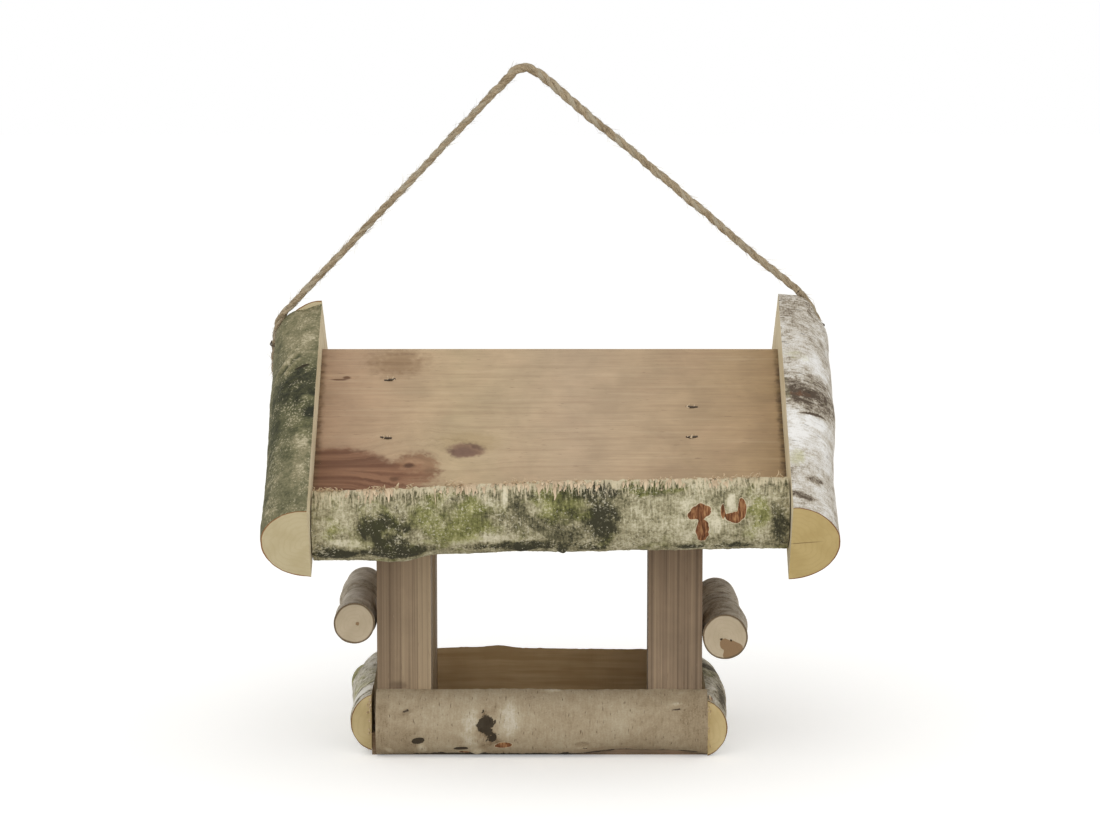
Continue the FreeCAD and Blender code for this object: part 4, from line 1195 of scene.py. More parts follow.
        # The bark drifts along the log, so where the saw cuts meet it is found in rounds.
        cuts = []
        for tip, reach in ((-1, np.full(len(turns), self.start)), (1, np.full(len(turns), self.end))):
            for _ in range(6):
                reach = self.cut_at(tip, self.section(reach, turns)[2])
            cuts.append(reach)
        share = np.linspace(0, 1, rows)[:, None]
        along = (cuts[0] * (1 - share) + cuts[1] * share).ravel()
        turn = np.tile(turns, rows)
        angle, out, up = self.section(along, turn)
        radius, middle_out, middle_up = self.rings(along)
        arc = radius * angle
        solid = self.seat.at(along, out, up)
        masks, lift = self.stained(solid)
        off_edge = (1 - np.abs(turn)) * radius * 1.6
        fade = 1.0 if self.whole else ease(0.0, 2.5, off_edge)
        height = self.relief(solid, along, arc) * fade + lift
        out = out + height * np.cos(angle)
        up = up + height * np.sin(angle)
        if not self.whole:
            edge, seed = xyz(along, turn * 9), self.look.seed
            tooth = lattice_noise(edge, 1.3, seed + 11) + lattice_noise(edge, 5.0, seed + 12)
            up = up + np.sign(turn) * (1 - ease(0.0, 3.0, off_edge)) * tooth * self.look.ragged * 0.5
            out = np.maximum(out, 0.0)
        if self.ground:
            up = np.maximum(up, 0.0)
        bark = shell.add(
            self.seat.at(along, out, up),
            measure=xyz(along, out - middle_out, up - middle_up),
            wrap=xyz(along, arc, height),
            edge=np.where(turn > 0, off_edge, self.clear_of_edge),
            rim=0.0,
            **masks,
        )
        return bark.reshape(rows, -1), up.reshape(rows, -1)

    def saw_flat(self, shell: Shell, low: Array, high: Array) -> Array:
        """Add the corners of the sawn face, which have no stains.

        Args:
            shell: the log's shell, which grows.
            low: how far up the seat the bark's lower edge lies, row by row.
            high: the same for its upper edge.

        Returns:
            The corners' numbers, in as many rows.
        """
        share, none = np.linspace(0, 1, len(low)), np.zeros(len(low))
        clear = {stain.value: 0.0 for stain in Stain}
        clear.update(edge=self.clear_of_edge, rim=self.clear_of_rim)
        lines = []
        for part in np.linspace(0, 1, self.flat_lines + 2)[1:-1]:
            level = low + (high - low) * part
            line = self.cut_at(-1, level) * (1 - share) + self.cut_at(1, level) * share
            _, centre_out, centre_up = self.rings(line)
            measure = xyz(line, -centre_out, level - centre_up)
            lines.append(shell.add(self.seat.at(line, none, level), measure=measure, wrap=measure, **clear))
        return np.stack(lines, axis=1)

    def close_end(self, shell: Shell, loop: Array, width: int) -> None:
        """Close one end with rings of end grain that shrink to its middle.

        Args:
            shell: the log's shell, which grows.
            loop: the numbers of the corners round the end, bark first.
            width: how many corners of the loop are bark.
        """
        rim = np.concatenate(shell.points)[loop]
        rim_measure = np.concatenate(shell.fields["measure"])[loop]
        middle, middle_measure = rim.mean(axis=0), rim_measure.mean(axis=0)
        away = np.linalg.norm(rim - middle, axis=1)
        beyond = np.where(np.arange(len(loop)) < width, 0.0, self.clear_of_rim)
        previous = loop
        for share in self.end_rings:
            keep = slice(None) if share else slice(0, 1)
            points = (middle + (rim - middle) * share)[keep]
            measure = (middle_measure + (rim_measure - middle_measure) * share)[keep]
            off_rim = (away * (1 - share) + beyond)[keep] + (0.0 if share else self.clear_of_rim)
            masks, _ = self.stained(points)
            masks.update(edge=self.clear_of_edge, rim=off_rim)
            current = shell.add(points, measure=measure, wrap=measure, **masks)
            if share:
                grid = np.stack([np.append(previous, previous[0]), np.append(current, current[0])])
                shell.sheet(grid, Region.END)
            else:
                shell.cap(previous, current[0], Region.END)
            previous = current

    def build(self) -> Log:
        """Make the log's mesh, dressed in bark, sawn wood and end grain, in its solid's place.

        Returns:
            The log itself.
        """
        shell = Shell()
        bark, up = self.grow_bark(shell)
        if self.whole:
            shell.tube(bark, closed=False)
            flat = bark[:, :0]
        else:
            shell.sheet(bark)
            flat = self.saw_flat(shell, up[:, 0], up[:, -1])
            shell.sheet(np.column_stack([bark[:, 0], flat, bark[:, -1]]), Region.SAWN)
        for row in (0, -1):
            self.close_end(shell, np.concatenate([bark[row], flat[row][::-1]]), bark.shape[1])
        look = self.look
        name, node = ("_branch", "") if self.whole else ("_birch", "_log")
        piece = shell.piece(self.key + name, Body.HOUSE, [look.bark, look.sawn, look.cut])
        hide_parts(self.key + node)
        return self


@dataclass
class Slivers:
    """Thin slivers of torn wood or bark, each along its own bent line and tapered to a point."""

    name: str
    paths: Array
    side: Array
    widths: Array
    material: Material
    thickness: float = 0.5
    slot: str = "birch_bark"
    taper: float = 0.75

    def build(self) -> None:
        """Make all the slivers as one piece that rides on the house."""
        count, levels, _ = self.paths.shape
        shell = Shell()
        share = np.linspace(0, 1, levels)
        heading = unit(np.gradient(self.paths, axis=1))
        side = unit(self.side - heading * (heading * self.side).sum(axis=2, keepdims=True))
        half = self.widths[:, None, None] * (1 - share**2 * self.taper)[None, :, None] / 2
        thick = np.cross(heading, side) * half * self.thickness * 2
        corners = np.stack([self.paths - side * half, self.paths + side * half, self.paths + thick], axis=2)
        measure = np.zeros((count, levels, 3, 3))
        measure[..., 0] = share[None, :, None]
        measure[..., 1:] = self.paths[:, :1, None, ::2]
        for sliver in shell.add(corners, measure=measure):
            shell.tube(sliver)
        piece = shell.piece(self.name, Body.HOUSE, [self.material])


@dataclass
class Roof:
    """Two planed boards, four gable logs and two eave logs."""

    gable_radius: float = 25.0
    gable_depth: float = 25.2
    gable_centre: float = -1.5
    gable_overhang: float = 29.0
    eave_radius: float = 21.6
    eave_centre: float = -7.8
    eave_end_gap: float = 0.6
    front_tilt: float = 2.4
    rear_tilt: float = -0.8
    edge_wear: float = 0.7
    gouge_depth: float = 0.75
    crack_depth: float = 0.6
    fringe_levels: int = 5
    staples: tuple[tuple[float, float], ...] = ((-87.0, 24.4), (-87.6, 69.6), (76.4, 45.7), (75.7, 68.9))

    def board(self, side: Side, material: Material) -> None:
        """One planed board, cut plumb at the ridge, its arrises worn round, with small gouges at the staples.

        Args:
            side: which board.
            material: its wood.
        """
        thick, wear = BOARD_THICKNESS, self.edge_wear
        lean = thick * math.tan(ROOF_SLOPE)
        # Round the board's end: top, worn arris, lower edge, underside and the cut at the ridge.
        outline = np.concatenate(
            [
                np.linspace((0, 0), (BOARD_WIDTH - wear, 0), 147),
                [(BOARD_WIDTH - 0.3 * wear, -0.3 * wear)],
                np.linspace((BOARD_WIDTH, -wear), (BOARD_WIDTH, wear - thick), 9),
                np.linspace((BOARD_WIDTH - wear, -thick), (lean, -thick), 24),
                np.linspace((lean, -thick), (0, 0), 8)[1:-1],
            ]
        )
        rows = 301
        along = np.repeat(np.linspace(-BOARD_LENGTH / 2, BOARD_LENGTH / 2, rows), len(outline))
        down, square = np.tile(outline, (rows, 1)).T
        fibre = xyz(along * 0.03, down)
        dent = 0.10 * lattice_noise(fibre, 1.9, 77 + side) + 0.06 * lattice_noise(fibre, 6.0, 78)
        if side is Side.FRONT:
            dent = dent - self.gouges(along, down)
        square = np.where(square > -0.01, square + dent, square)
        seat = roof_seat(side, xyz(1))
        shell = Shell()
        grid = shell.add(seat.at(down, along, square), measure=xyz(along, down, square)).reshape(rows, -1)
        shell.tube(grid, closed=False)
        for row in (0, -1):
            across = along[grid[row][:1]]
            end = seat.at(BOARD_WIDTH / 2, across, -thick / 2)
            middle = shell.add(end, measure=xyz(across, BOARD_WIDTH / 2, -thick / 2))
            shell.cap(grid[row], int(middle[0]))
        words = side.name.lower()
        plank = shell.piece(words + "_plank", Body.HOUSE, [material], 40.0)
        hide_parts(words + "_roof_board")

    def gouges(self, along: Array, down: Array) -> Array:
        """How deep the staples' gouges and the short crack at the left end are in the front board.

        Args:
            along: distances along the ridge.
            down: distances down the roof.

        Returns:
            One depth for each place.
        """
        depth = np.zeros(len(along))
        ragged = fractal_noise(xyz(along, down), 1.6, 79, 2) * 0.35
        for x, t in self.staples:
            away = np.sqrt(((along - x) / 3.4) ** 2 + ((down - t) / 1.7) ** 2) + ragged
            depth += self.gouge_depth * (1 - ease(0.45, 1.1, away))
        bent = 22.8 - 0.03 * (along + 108) ** 2 * (along > -108)
        return depth + self.crack_depth * (np.abs(down - bent) < 0.6) * (np.abs(along + 112) < 8)

    def staple_splinters(self, material: Material) -> None:
        """Small light splinters that the staples raised in the front board.

        Args:
            material: the torn fibre.
        """
        dice = np.random.default_rng(9)
        seat = roof_seat(Side.FRONT, xyz(1))
        levels = np.linspace(0, 1, 4)
        paths = []
        for x, t in self.staples:
            for _ in range(5):
                start = np.array([x + dice.uniform(-3.4, 2.4), t + dice.uniform(-0.4, 1.3)])
                run = np.array([dice.uniform(-1.0, 1.0), dice.uniform(0.9, 2.4)])
                down, across = start[1] - run[1] * levels, start[0] + run[0] * levels
                paths.append(seat.at(down, across, -0.3 + 1.0 * levels * dice.uniform(0.4, 1.0)))
        widths = dice.uniform(0.35, 0.8, len(paths))
        Slivers("staple_splinters", np.array(paths), seat.out, widths, material, slot="board").build()

    def gable(self, side: Side, end: End, look: LogLook) -> None:
        """One gable log.

        Args:
            side: front or rear.
            end: left or right.
            look: how it is dressed.
        """
        roof = roof_seat(side, xyz(end))
        face = Seat(roof.origin + roof.out * BOARD_LENGTH / 2, roof.along, roof.out, roof.up)
        start, stop = -2 * self.gable_radius * math.tan(ROOF_SLOPE), BOARD_WIDTH + self.gable_overhang
        size = (self.gable_radius, self.gable_depth, self.gable_centre)
        Log(f"{side.name}_{end.name}_gable".lower(), face, start, stop, *size, look, plumb=True).build()

    def eave(self, side: Side, look: LogLook) -> Log:
        """One eave log, nailed on a little out of level, with its ends sawn square to the ridge.

        Args:
            side: front or rear.
            look: how it is dressed.

        Returns:
            The log.
        """
        roof = roof_seat(side, xyz(1))
        edge = Seat(roof.origin + roof.along * BOARD_WIDTH, roof.out, roof.along, roof.up)
        face = edge.moved(self.eave_centre, self.front_tilt if side is Side.FRONT else self.rear_tilt)
        reach, size = BOARD_LENGTH / 2 - self.eave_end_gap, (self.eave_radius, self.eave_radius, 0.0)
        log = Log(f"{side.name}_eave".lower(), face, -reach, reach, *size, look, square_x=reach, step=0.8)
        return log.build()

    def clumped(self, dice: Dice, log: Log, tries: int, size: float, seed: int, least: float) -> Array:
        """So many random places along a log, thinned out to clumps of a size. A higher least keeps fewer."""
        along = dice.uniform(log.start + 1, log.end - 1, tries)
        return along[fractal_noise(xyz(along), size, seed) + dice.normal(0, 0.2, tries) > least]

    def fringe(self, log: Log, seed: int, material: Material) -> None:
        """Torn fibres that stand up along the upper edge of an eave log, and strips that hang from it.

        Args:
            log: the eave log.
            seed: for their places.
            material: the torn fibre.
        """
        dice = np.random.default_rng(seed)
        along = self.clumped(dice, log, 900, 8.0, seed, 0.22)
        count, levels = len(along), np.linspace(0, 1, self.fringe_levels)
        _, out, up = log.section(along, np.ones(count))
        tall = dice.gamma(2.4, 0.9, count).clip(0.8, 5.4)
        lean = dice.normal(0, 0.35, (count, 2))
        paths = np.zeros((count, len(levels), 3))
        for number, level in enumerate(levels):
            curl = level * level * dice.normal(0, 0.4, count)
            run = along + (lean[:, 0] * level + curl) * tall * 0.6
            off = out + dice.uniform(0.1, 0.5) + (0.25 + 0.5 * lean[:, 1]) * tall * level * 0.8
            paths[:, number] = log.seat.at(run, np.maximum(off, 0.15), up - 0.8 + tall * level)
        widths = dice.uniform(0.5, 1.7, count)
        Slivers(log.key + "_fringe", paths, log.seat.along, widths, material).build()
        along = self.clumped(dice, log, 420, 11.0, seed + 3, 0.2)
        count = len(along)
        down = dice.gamma(2.2, 1.6, count).clip(1.5, 10.0)
        begin = dice.uniform(0.0, 4.0, count) * (dice.random(count) < 0.5)
        paths = np.zeros((count, len(levels), 3))
        drift = dice.normal(0, 0.5, count)
        for number, level in enumerate(levels):
            arc = (begin + down * level) / (log.radius * 1.6)
            lift = 0.25 + 0.5 * level * dice.uniform(0.0, 1.0, count)
            run = along + drift * level + dice.normal(0, 0.12, count)
            _, out, up = log.section(run, 1 - arc, lift)
            paths[:, number] = log.seat.at(run, np.maximum(out, 0.2), up)
        widths = dice.uniform(0.4, 2.0, count)
        Slivers(log.key + "_strips", paths, log.seat.along, widths, material, 0.12).build()

    def build(self, fibre: Material, side_cut: Material, sawn: Material) -> None:
        """Build and dress the roof.

        Args:
            fibre: the torn fibre.
            side_cut: the eave logs' end grain.
            sawn: the logs' sawn faces.
        """
        front_plank = PlanedSoftwood(
            "front_plank_spruce", line_share=0.17, blush_share=0.14, wander=0.035, figures=FRONT_PLANK_FIGURES_AND_SHADE
        )
        rear_plank = PlanedSoftwood("rear_plank_spruce", figures=(Figure(52.0, 48.0, 9.0, 5.0),))
        self.board(Side.FRONT, front_plank.make())
        self.board(Side.REAR, rear_plank.make())
        self.staple_splinters(fibre)
        # Old bark under moss: dark green, soft and rough, with pale crumbs where the bark shows through.
        mossy = BirchBark(
            "mossy_birch_bark",
            ("#2f3025", "#4f4e38", "#6f6c50", "#8c8466", "#cbc0a2"),
            ("#2f3023", "#515138", "#7b7955"),
            patch=11.0, moss_share=0.42, lenticels=0.1, streaks=0.35, spread=0.6, crumbs=0.5, relief=0.4,
        ).make()
        # Old bark under lichen: grey green and pale in patches, with its upper edge torn to bare fibre.
        lichened = BirchBark(
            "lichen_birch_bark",
            ("#3a3829", "#68634a", "#948c6e", "#b9b193", "#d6ceb4"),
            ("#3f3f25", "#74753f", "#a9a66c"),
            patch=13.0, moss_share=0.36, torn=0.7, lenticels=0.3, streaks=0.7, spread=0.42, crumbs=0.55,
        ).make()
        # Young bark kept in the light: papery white, with fine grey streaks round the log.
        white = BirchBark(
            "white_birch_bark",
            ("#574b3f", "#978c7b", "#c4bcae", "#d9d5cd", "#ebe9e5"),
            ("#8f8a6c", "#b5b08c", "#cfcba9"),
            patch=15.0, moss_share=0.2, lenticels=0.6, speckle=0.95, spread=0.42, relief=0.3, streaks=0.8,
            bias=0.04,
        ).make()
        left_cut = EndGrain("left_gable_end", "#c6b894", "#b7a780").make()
        right_cut = EndGrain("right_gable_end", "#c0a974", "#b09862", rim="#7d5231", check=-6.0).make()
        rough = {"lumps": 0.55, "grain": 0.2, "flakes": 0.25}
        smooth = {"lumps": 0.4, "grain": 0.07, "flakes": 0.12}
        shaggy = {"lumps": 0.6, "grain": 0.22, "flakes": 0.4, "ragged": 1.3}
        for number, side in enumerate(Side):
            self.gable(side, End.LEFT, LogLook(11 + 2 * number, mossy, left_cut, sawn, **rough))
            self.gable(side, End.RIGHT, LogLook(12 + 2 * number, white, right_cut, sawn, **smooth))
            eave = self.eave(side, LogLook(15 + number, lichened, side_cut, sawn, **shaggy))
            self.fringe(eave, 31 + number, fibre)


@dataclass(frozen=True)
class Stretch:
    """One stretch of the twine: its piece, node, body, route, length, far end and number of loose fibres.

    outward points away from the wood that it is stapled to, where it is.
    """

    name: str
    node: str
    body: Body
    route: tuple[Place, ...]
    length: float
    far_end: str
    fibres: int
    outward: Place | None = None


@dataclass
class Twine:
    """Three-ply jute twine: a free loop and two ends stapled to the gables."""

    ply_radius: float = 1.22
    lay_radius: float = 0.9
    pitch: float = 24.0
    plies: int = 3
    sides: int = 9
    point_spacing: float = 0.6
    settle: float = 8.0
    hair_levels: tuple[float, ...] = (0.0, 0.35, 0.7, 1.0)
    hair_radius: float = 0.08
    wire_radius: float = 0.42
    wire_sides: int = 8
    staple_corner: int = 3
    crown: tuple[tuple[float, float], ...] = (
        (-2.7, -8), (-2.7, 0.6), (-2.3, 1.7), (-1.2, 2.2), (1.2, 2.2), (2.3, 1.7), (2.7, 0.6), (2.7, -8),
    )
    loop_thickness: tuple[tuple[float, float], ...] = (
        (0, 0.95), (0.3, 0.93), (0.4, 1), (0.47, 1.28), (0.58, 1.24), (0.66, 1.08), (0.85, 1.06), (1, 1),
    )
    loop_route: tuple[Place, ...] = (
        (-143.2, 0, 237.2), (-92.5, 0, 289.2), (-47.5, 0, 337), (-26, 0, 359.6), (-15.6, 0, 370.3),
        (-4.2, 0, 364), (12, 0, 349.6), (52, 0, 317.2), (97, 0, 278.6), (135.6, 0, 246.8),
    )
    left_route: tuple[Place, ...] = (
        (-143.2, 0, 237.2), (-148.4, 1, 231.4), (-150.4, 4.4, 224.6), (-151.4, 8.6, 216.6),
        (-152, 13, 208.4), (-152.2, 17, 199.8),
    )
    right_route: tuple[Place, ...] = (
        (135.6, 0, 246.8), (140, 4.2, 242.4), (145, 8, 234.4), (148.8, 10.8, 226.2),
        (150.8, 14.2, 217.6), (151.8, 17, 208.8),
    )

    def line(self, route: tuple[Place, ...]) -> Array:
        """Follow a route smoothly.

        Args:
            route: the points that control the line.

        Returns:
            Evenly spaced points along it, in millimetres.
        """
        curve = bpy.data.curves.new("route", "CURVE")
        curve.dimensions = "3D"
        spline = curve.splines.new("NURBS")
        spline.points.add(len(route) - 1)
        for point, (x, y, z) in zip(spline.points, route):
            point.co = (x * MM, y * MM, z * MM, 1.0)
        spline.order_u = 3
        spline.use_endpoint_u = True
        curve.resolution_u = 24
        guide = bpy.data.objects.new("route", curve)
        bpy.context.collection.objects.link(guide)
        graph = bpy.context.evaluated_depsgraph_get()
        mesh = bpy.data.meshes.new_from_object(guide.evaluated_get(graph))
        places = np.empty(len(mesh.vertices) * 3)
        mesh.vertices.foreach_get("co", places)
        bpy.data.objects.remove(guide)
        bpy.data.meshes.remove(mesh)
        bpy.data.curves.remove(curve)
        raw = places.reshape(-1, 3) / MM
        gaps = np.concatenate([[0], np.cumsum(np.linalg.norm(np.diff(raw, axis=0), axis=1))])
        even = np.linspace(0, gaps[-1], max(8, int(gaps[-1] / self.point_spacing)))
        return np.stack([np.interp(even, gaps, raw[:, number]) for number in range(3)], axis=1)

    def frames(self, line: Array) -> tuple[Array, Array, Array]:
        """Three directions at each point of a line, carried along it without twist.

        Args:
            line: the points.

        Returns:
            The way along it, and two ways square to it.
        """
        heading = unit(np.gradient(line, axis=0))
        first = np.empty_like(line)
        carried = xyz(0, 1)
        for place, direction in enumerate(heading):
            carried = unit(carried - direction * (carried @ direction))
            first[place] = carried
        return heading, first, np.cross(heading, first)

    def strands(self, part: Stretch, line: Array, seed: int, material: Material) -> Piece:
        """Lay the plies along a line. The free loop makes whole turns, so that its ends meet the others.

        Args:
            part: which stretch it is.
            line: the points that it follows.
            seed: for the unevenness of the yarn.
            material: the jute.

        Returns:
            The twine.
        """
        _, first, second = self.frames(line)
        length = np.linalg.norm(np.diff(line, axis=0), axis=1).sum()
        run = np.linspace(0, length, len(line))
        spun = xyz(run)
        if part.body is Body.HANGER:
            thickness = np.interp(np.linspace(0, 1, len(line)), *zip(*self.loop_thickness))
            turns = round(length / self.pitch)
            fade = np.clip(np.minimum(run, length - run) / self.settle, 0, 1)
        else:
            thickness = np.ones(len(line))
            turns = length / self.pitch
            fade = np.clip(run / self.settle, 0, 1)
        # The twine sways a little off its line, but not where it has to meet the next stretch.
        sway = 0.3 * lattice_noise(spun, 15.0, seed + 5) * fade
        rise = 0.3 * lattice_noise(spun + 90, 13.0, seed + 6) * fade
        line = line + first * sway[:, None] + second * rise[:, None]
        shell = Shell()
        corners = np.arange(self.sides) * math.tau / self.sides
        round_about = first[:, None, :] * np.cos(corners)[None, :, None]
        round_about = round_about + second[:, None, :] * np.sin(corners)[None, :, None]
        for ply in range(self.plies):
            phase = math.tau * (ply / self.plies + turns * run / length)
            loose = 1 + 0.16 * lattice_noise(spun + ply * 31, 9.0, seed)
            out = self.lay_radius * loose * thickness
            centre = line + first * (out * np.cos(phase))[:, None] + second * (out * np.sin(phase))[:, None]
            thick = self.ply_radius * thickness * (1 + 0.10 * lattice_noise(centre, 2.4, seed + ply))
            hairy = (centre[:, None, :] + round_about * 2).reshape(-1, 3)
            hairy = 1 + 0.07 * lattice_noise(hairy, 0.9, seed + 8).reshape(len(line), -1)
            points = centre[:, None, :] + round_about * (thick[:, None] * hairy)[:, :, None]
            turned = corners[None, :] - phase[:, None]
            measure = xyz(run[:, None], ply * 20 + 1.4 * np.cos(turned), 1.4 * np.sin(turned))
            shell.tube(shell.add(points, measure=measure))
        return shell.piece(part.name, part.body, [material], 80.0)

    def hairs(self, part: Stretch, line: Array, seed: int, material: Material) -> Piece:
        """Loose fibres that lie along the yarn and stand off it, thicker than real ones so that they show.

        Args:
            part: which stretch it is. One that is fixed to the house ends in a tuft of fibres.
            line: the twine's line.
            seed: for their places.
            material: the jute.

        Returns:
            The fibres, as one piece.
        """
        dice = np.random.default_rng(seed)
        heading, first, second = self.frames(line)
        count = part.fibres
        tuft = count // 3 if part.body is Body.HOUSE else 0
        in_tuft = np.arange(count) >= count - tuft
        step = dice.integers(3, len(line) - 6, count - tuft)
        step = np.concatenate([step, np.full(tuft, len(line) - 4)]).astype(int)
        angle = dice.uniform(0, math.tau, count)
        normal = first[step] * np.cos(angle)[:, None] + second[step] * np.sin(angle)[:, None]
        ahead = heading[step] * np.where((dice.random(count) < 0.7) | in_tuft, 1, -1)[:, None]
        aside = np.cross(normal, ahead)
        length = dice.uniform(1.2, 5.5, count)[:, None]
        lean = normal * dice.uniform(0.02, 0.4, count)[:, None] + ahead
        bend = normal * dice.normal(0.0, 0.22, count)[:, None] + aside * dice.normal(0, 0.4, count)[:, None]
        start = line[step] + normal * np.where(in_tuft, 1.0, 1.9)[:, None]
        rows, measures = [], []
        for share in self.hair_levels:
            centre = start + lean * length * share + bend * length * share * share
            half = self.hair_radius * (1 - 0.6 * share)
            corners = [centre + normal * half, centre - normal * half, centre + aside * half * 1.6]
            rows.append(np.stack(corners, axis=1))
            measures.append(np.repeat(xyz(share * 4, angle, step * 0.6)[:, None, :], 3, axis=1))
        points, measure = np.stack(rows, axis=1), np.stack(measures, axis=1)
        shell = Shell()
        for hair in shell.add(points, measure=measure):
            shell.tube(hair, closed=False)
        piece = shell.piece(part.name + "_fibres", part.body, [material])
        return piece

    def staple(self, part: Stretch, line: Array, wire: Material) -> str:
        """Bend a wire staple tight over a stretch of twine.

        Args:
            part: which stretch it is.
            line: the twine's line.
            wire: the staple's material.

        Returns:
            The new piece's name.
        """
        corner = np.array(part.route[self.staple_corner])
        place = int(np.argmin(np.linalg.norm(line - corner, axis=1)))
        heading = unit(np.gradient(line, axis=0)[place])
        outward = np.array(part.outward)
        outward = unit(outward - heading * (outward @ heading))
        crown = np.array(self.crown)
        path = line[place] + np.cross(heading, outward) * crown[:, :1] + outward * crown[:, 1:]
        inward = np.cross(unit(np.gradient(path, axis=0)), heading)
        turns = np.arange(self.wire_sides) * math.tau / self.wire_sides
        ring = heading[None, None, :] * np.cos(turns)[None, :, None]
        ring = ring + inward[:, None, :] * np.sin(turns)[None, :, None]
        points = path[:, None, :] + ring * self.wire_radius
        shell = Shell()
        shell.tube(shell.add(points, measure=points))
        piece = shell.piece(part.name.replace("twine", "bent_staple"), Body.HOUSE, [wire])
        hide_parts(part.name + "_staple")
        return piece.name

    def build(self, jute: Material, wire: Material) -> None:
        """Make the loop and the two stapled ends.

        Args:
            jute: the twine's material.
            wire: the staples' material.
        """
        left_out, right_out = (-0.95, 0.2, 0.27), (0.84, 0.32, 0.44)
        house, hanger = Body.HOUSE, Body.HANGER
        stretches = (
            Stretch("loop_twine", "hanging_twine", hanger, self.loop_route, 372.5, "object", 1100),
            Stretch("left_twine", "left_twine_end", house, self.left_route, 43.4, "bare", 150, left_out),
            Stretch("right_twine", "right_twine_end", house, self.right_route, 46.8, "bare", 150, right_out),
        )
        for number, part in enumerate(stretches):
            line = self.line(part.route)
            piece = self.strands(part, line, 50 + number, jute)
            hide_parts(part.node)
            held = [self.hairs(part, line, 70 + number, jute)]
            if part.outward:
                held.append(self.staple(part, line, wire))
            LOG.info("%s: %.1f mm", part.name, np.linalg.norm(np.diff(line, axis=0), axis=1).sum())


@dataclass
class Tray:
    """The four split logs nailed round the floor board."""

    log_radius: float = 18.4
    log_depth: float = 15.0
    log_centre: float = 18.1
    end_gap: float = 0.4
    side_radius: float = 16.3
    side_depth: float = 11.2
    side_half_length: float = 57.0
    left_centre: float = 18.6
    right_centre: float = 15.2
    splinter_count: int = 26
    splinters_at_top: int = 8
    splinter_low: float = 3.0
    splinter_high: float = 31.0

    def log(self, where: Side | End, look: LogLook) -> Log:
        """One log of the tray.

        Args:
            where: which of the four.
            look: how it is dressed.

        Returns:
            The log.
        """
        if isinstance(where, Side):
            face = Seat(xyz(0, where * POST_OUTER_Y), xyz(1), xyz(0, where), xyz(0, 0, 1))
            start, stop = POST_LEFT_FACE - self.end_gap, FLOOR_RIGHT - self.end_gap
            size, step = (self.log_radius, self.log_depth, self.log_centre), 0.8
        else:
            left = where is End.LEFT
            face = Seat(xyz(FLOOR_LEFT if left else FLOOR_RIGHT), xyz(0, 1), xyz(where), xyz(0, 0, 1))
            start, stop = -self.side_half_length, self.side_half_length
            size = (self.side_radius, self.side_depth, self.left_centre if left else self.right_centre)
            step = 0.7
        key = f"{where.name}_tray".lower()
        return Log(key, face, start, stop, *size, look, ground=True, step=step).build()

    def splinters(self, log: Log, seed: int, material: Material) -> None:
        """Splinters that the saw left along the flat edge of a side log's front end.

        Args:
            log: the side log.
            seed: for their places.
            material: the torn fibre.
        """
        dice = np.random.default_rng(seed)
        count, top = self.splinter_count, self.splinters_at_top
        low = dice.uniform(self.splinter_low, self.splinter_high, count - top)
        high = dice.uniform(self.splinter_high - 3, self.splinter_high + 1.5, top)
        share = np.linspace(0, 1, 5)
        paths = []
        for level in np.concatenate([low, high]):
            length = dice.uniform(0.8, 3.6)
            drift = np.array([dice.uniform(-0.3, 0.8), dice.normal(0, 0.5)])
            start = dice.uniform(0.3, 2.0)
            run = log.start + 0.4 - share * 0.5 * length
            off = np.maximum(start - 0.9 * drift[0] * share * length, 0.12)
            paths.append(log.seat.at(run, off, level + drift[1] * length * share))
        widths = dice.uniform(0.5, 1.3, count)
        Slivers(log.key + "_splinters", np.array(paths), log.seat.up, widths, material).build()

    def build(self, fibre: Material, side_cut: Material, sawn: Material) -> None:
        """Build and dress the tray.

        Args:
            fibre: the torn fibre.
            side_cut: the end grain of all but the right log.
            sawn: the side logs' sawn faces.
        """
        # Young bark, still brown: nearly smooth, with many fine slits round the log.
        young = BirchBark(
            "young_birch_bark",
            ("#6f5c45", "#96856b", "#a8987e", "#b5a88f", "#c9c0ae"),
            patch=24.0, moss_share=0.06, lenticels=0.9, relief=0.2, spread=0.78, streaks=0.7, slit_width=0.8,
            speckle=1.0,
        ).make()
        # Older bark in small patches of white, brown and green.
        striped = BirchBark(
            "striped_birch_bark",
            ("#5a5545", "#99927e", "#c2bba8", "#d8d2c4", "#e8e4da"),
            ("#53522f", "#8e8a5a", "#b9b47e"),
            patch=9.0, moss_share=0.25, lenticels=0.5, bias=0.09,
        ).make()
        # The same bark with less of its white left.
        brown = BirchBark(
            "brown_birch_bark",
            ("#4d4536", "#7f7662", "#a59c87", "#c4bcaa", "#dad4c7"),
            ("#4b4a2c", "#7f7a52", "#aaa577"),
            patch=9.0, moss_share=0.25, lenticels=0.5,
        ).make()
        right_cut = EndGrain("right_tray_end", "#cfbb8c", "#bea877", rim="#7a5a36", rim_width=0.8).make()
        # The front and rear logs' inner sawn faces lie in the shade under the roof: this sawn birch has a
        # brighter colour than they show there, as painted light.
        sawn_painted_light = SawnBirch("sawn_birch_painted_light", "#c9ad83", "#b4976c").make()
        gentle = {"lumps": 0.22, "grain": 0.05, "flakes": 0.05, "ragged": 0.35}
        coarse = {"lumps": 0.7, "grain": 0.2, "flakes": 0.25, "ragged": 0.8}
        self.log(Side.FRONT, LogLook(17, young, side_cut, sawn_painted_light, **gentle))
        self.log(Side.REAR, LogLook(18, young, side_cut, sawn_painted_light, **gentle))
        left = self.log(End.LEFT, LogLook(19, striped, side_cut, sawn, **coarse))
        right = self.log(End.RIGHT, LogLook(20, brown, right_cut, sawn, **coarse))
        self.splinters(left, 41, fibre)
        self.splinters(right, 42, fibre)


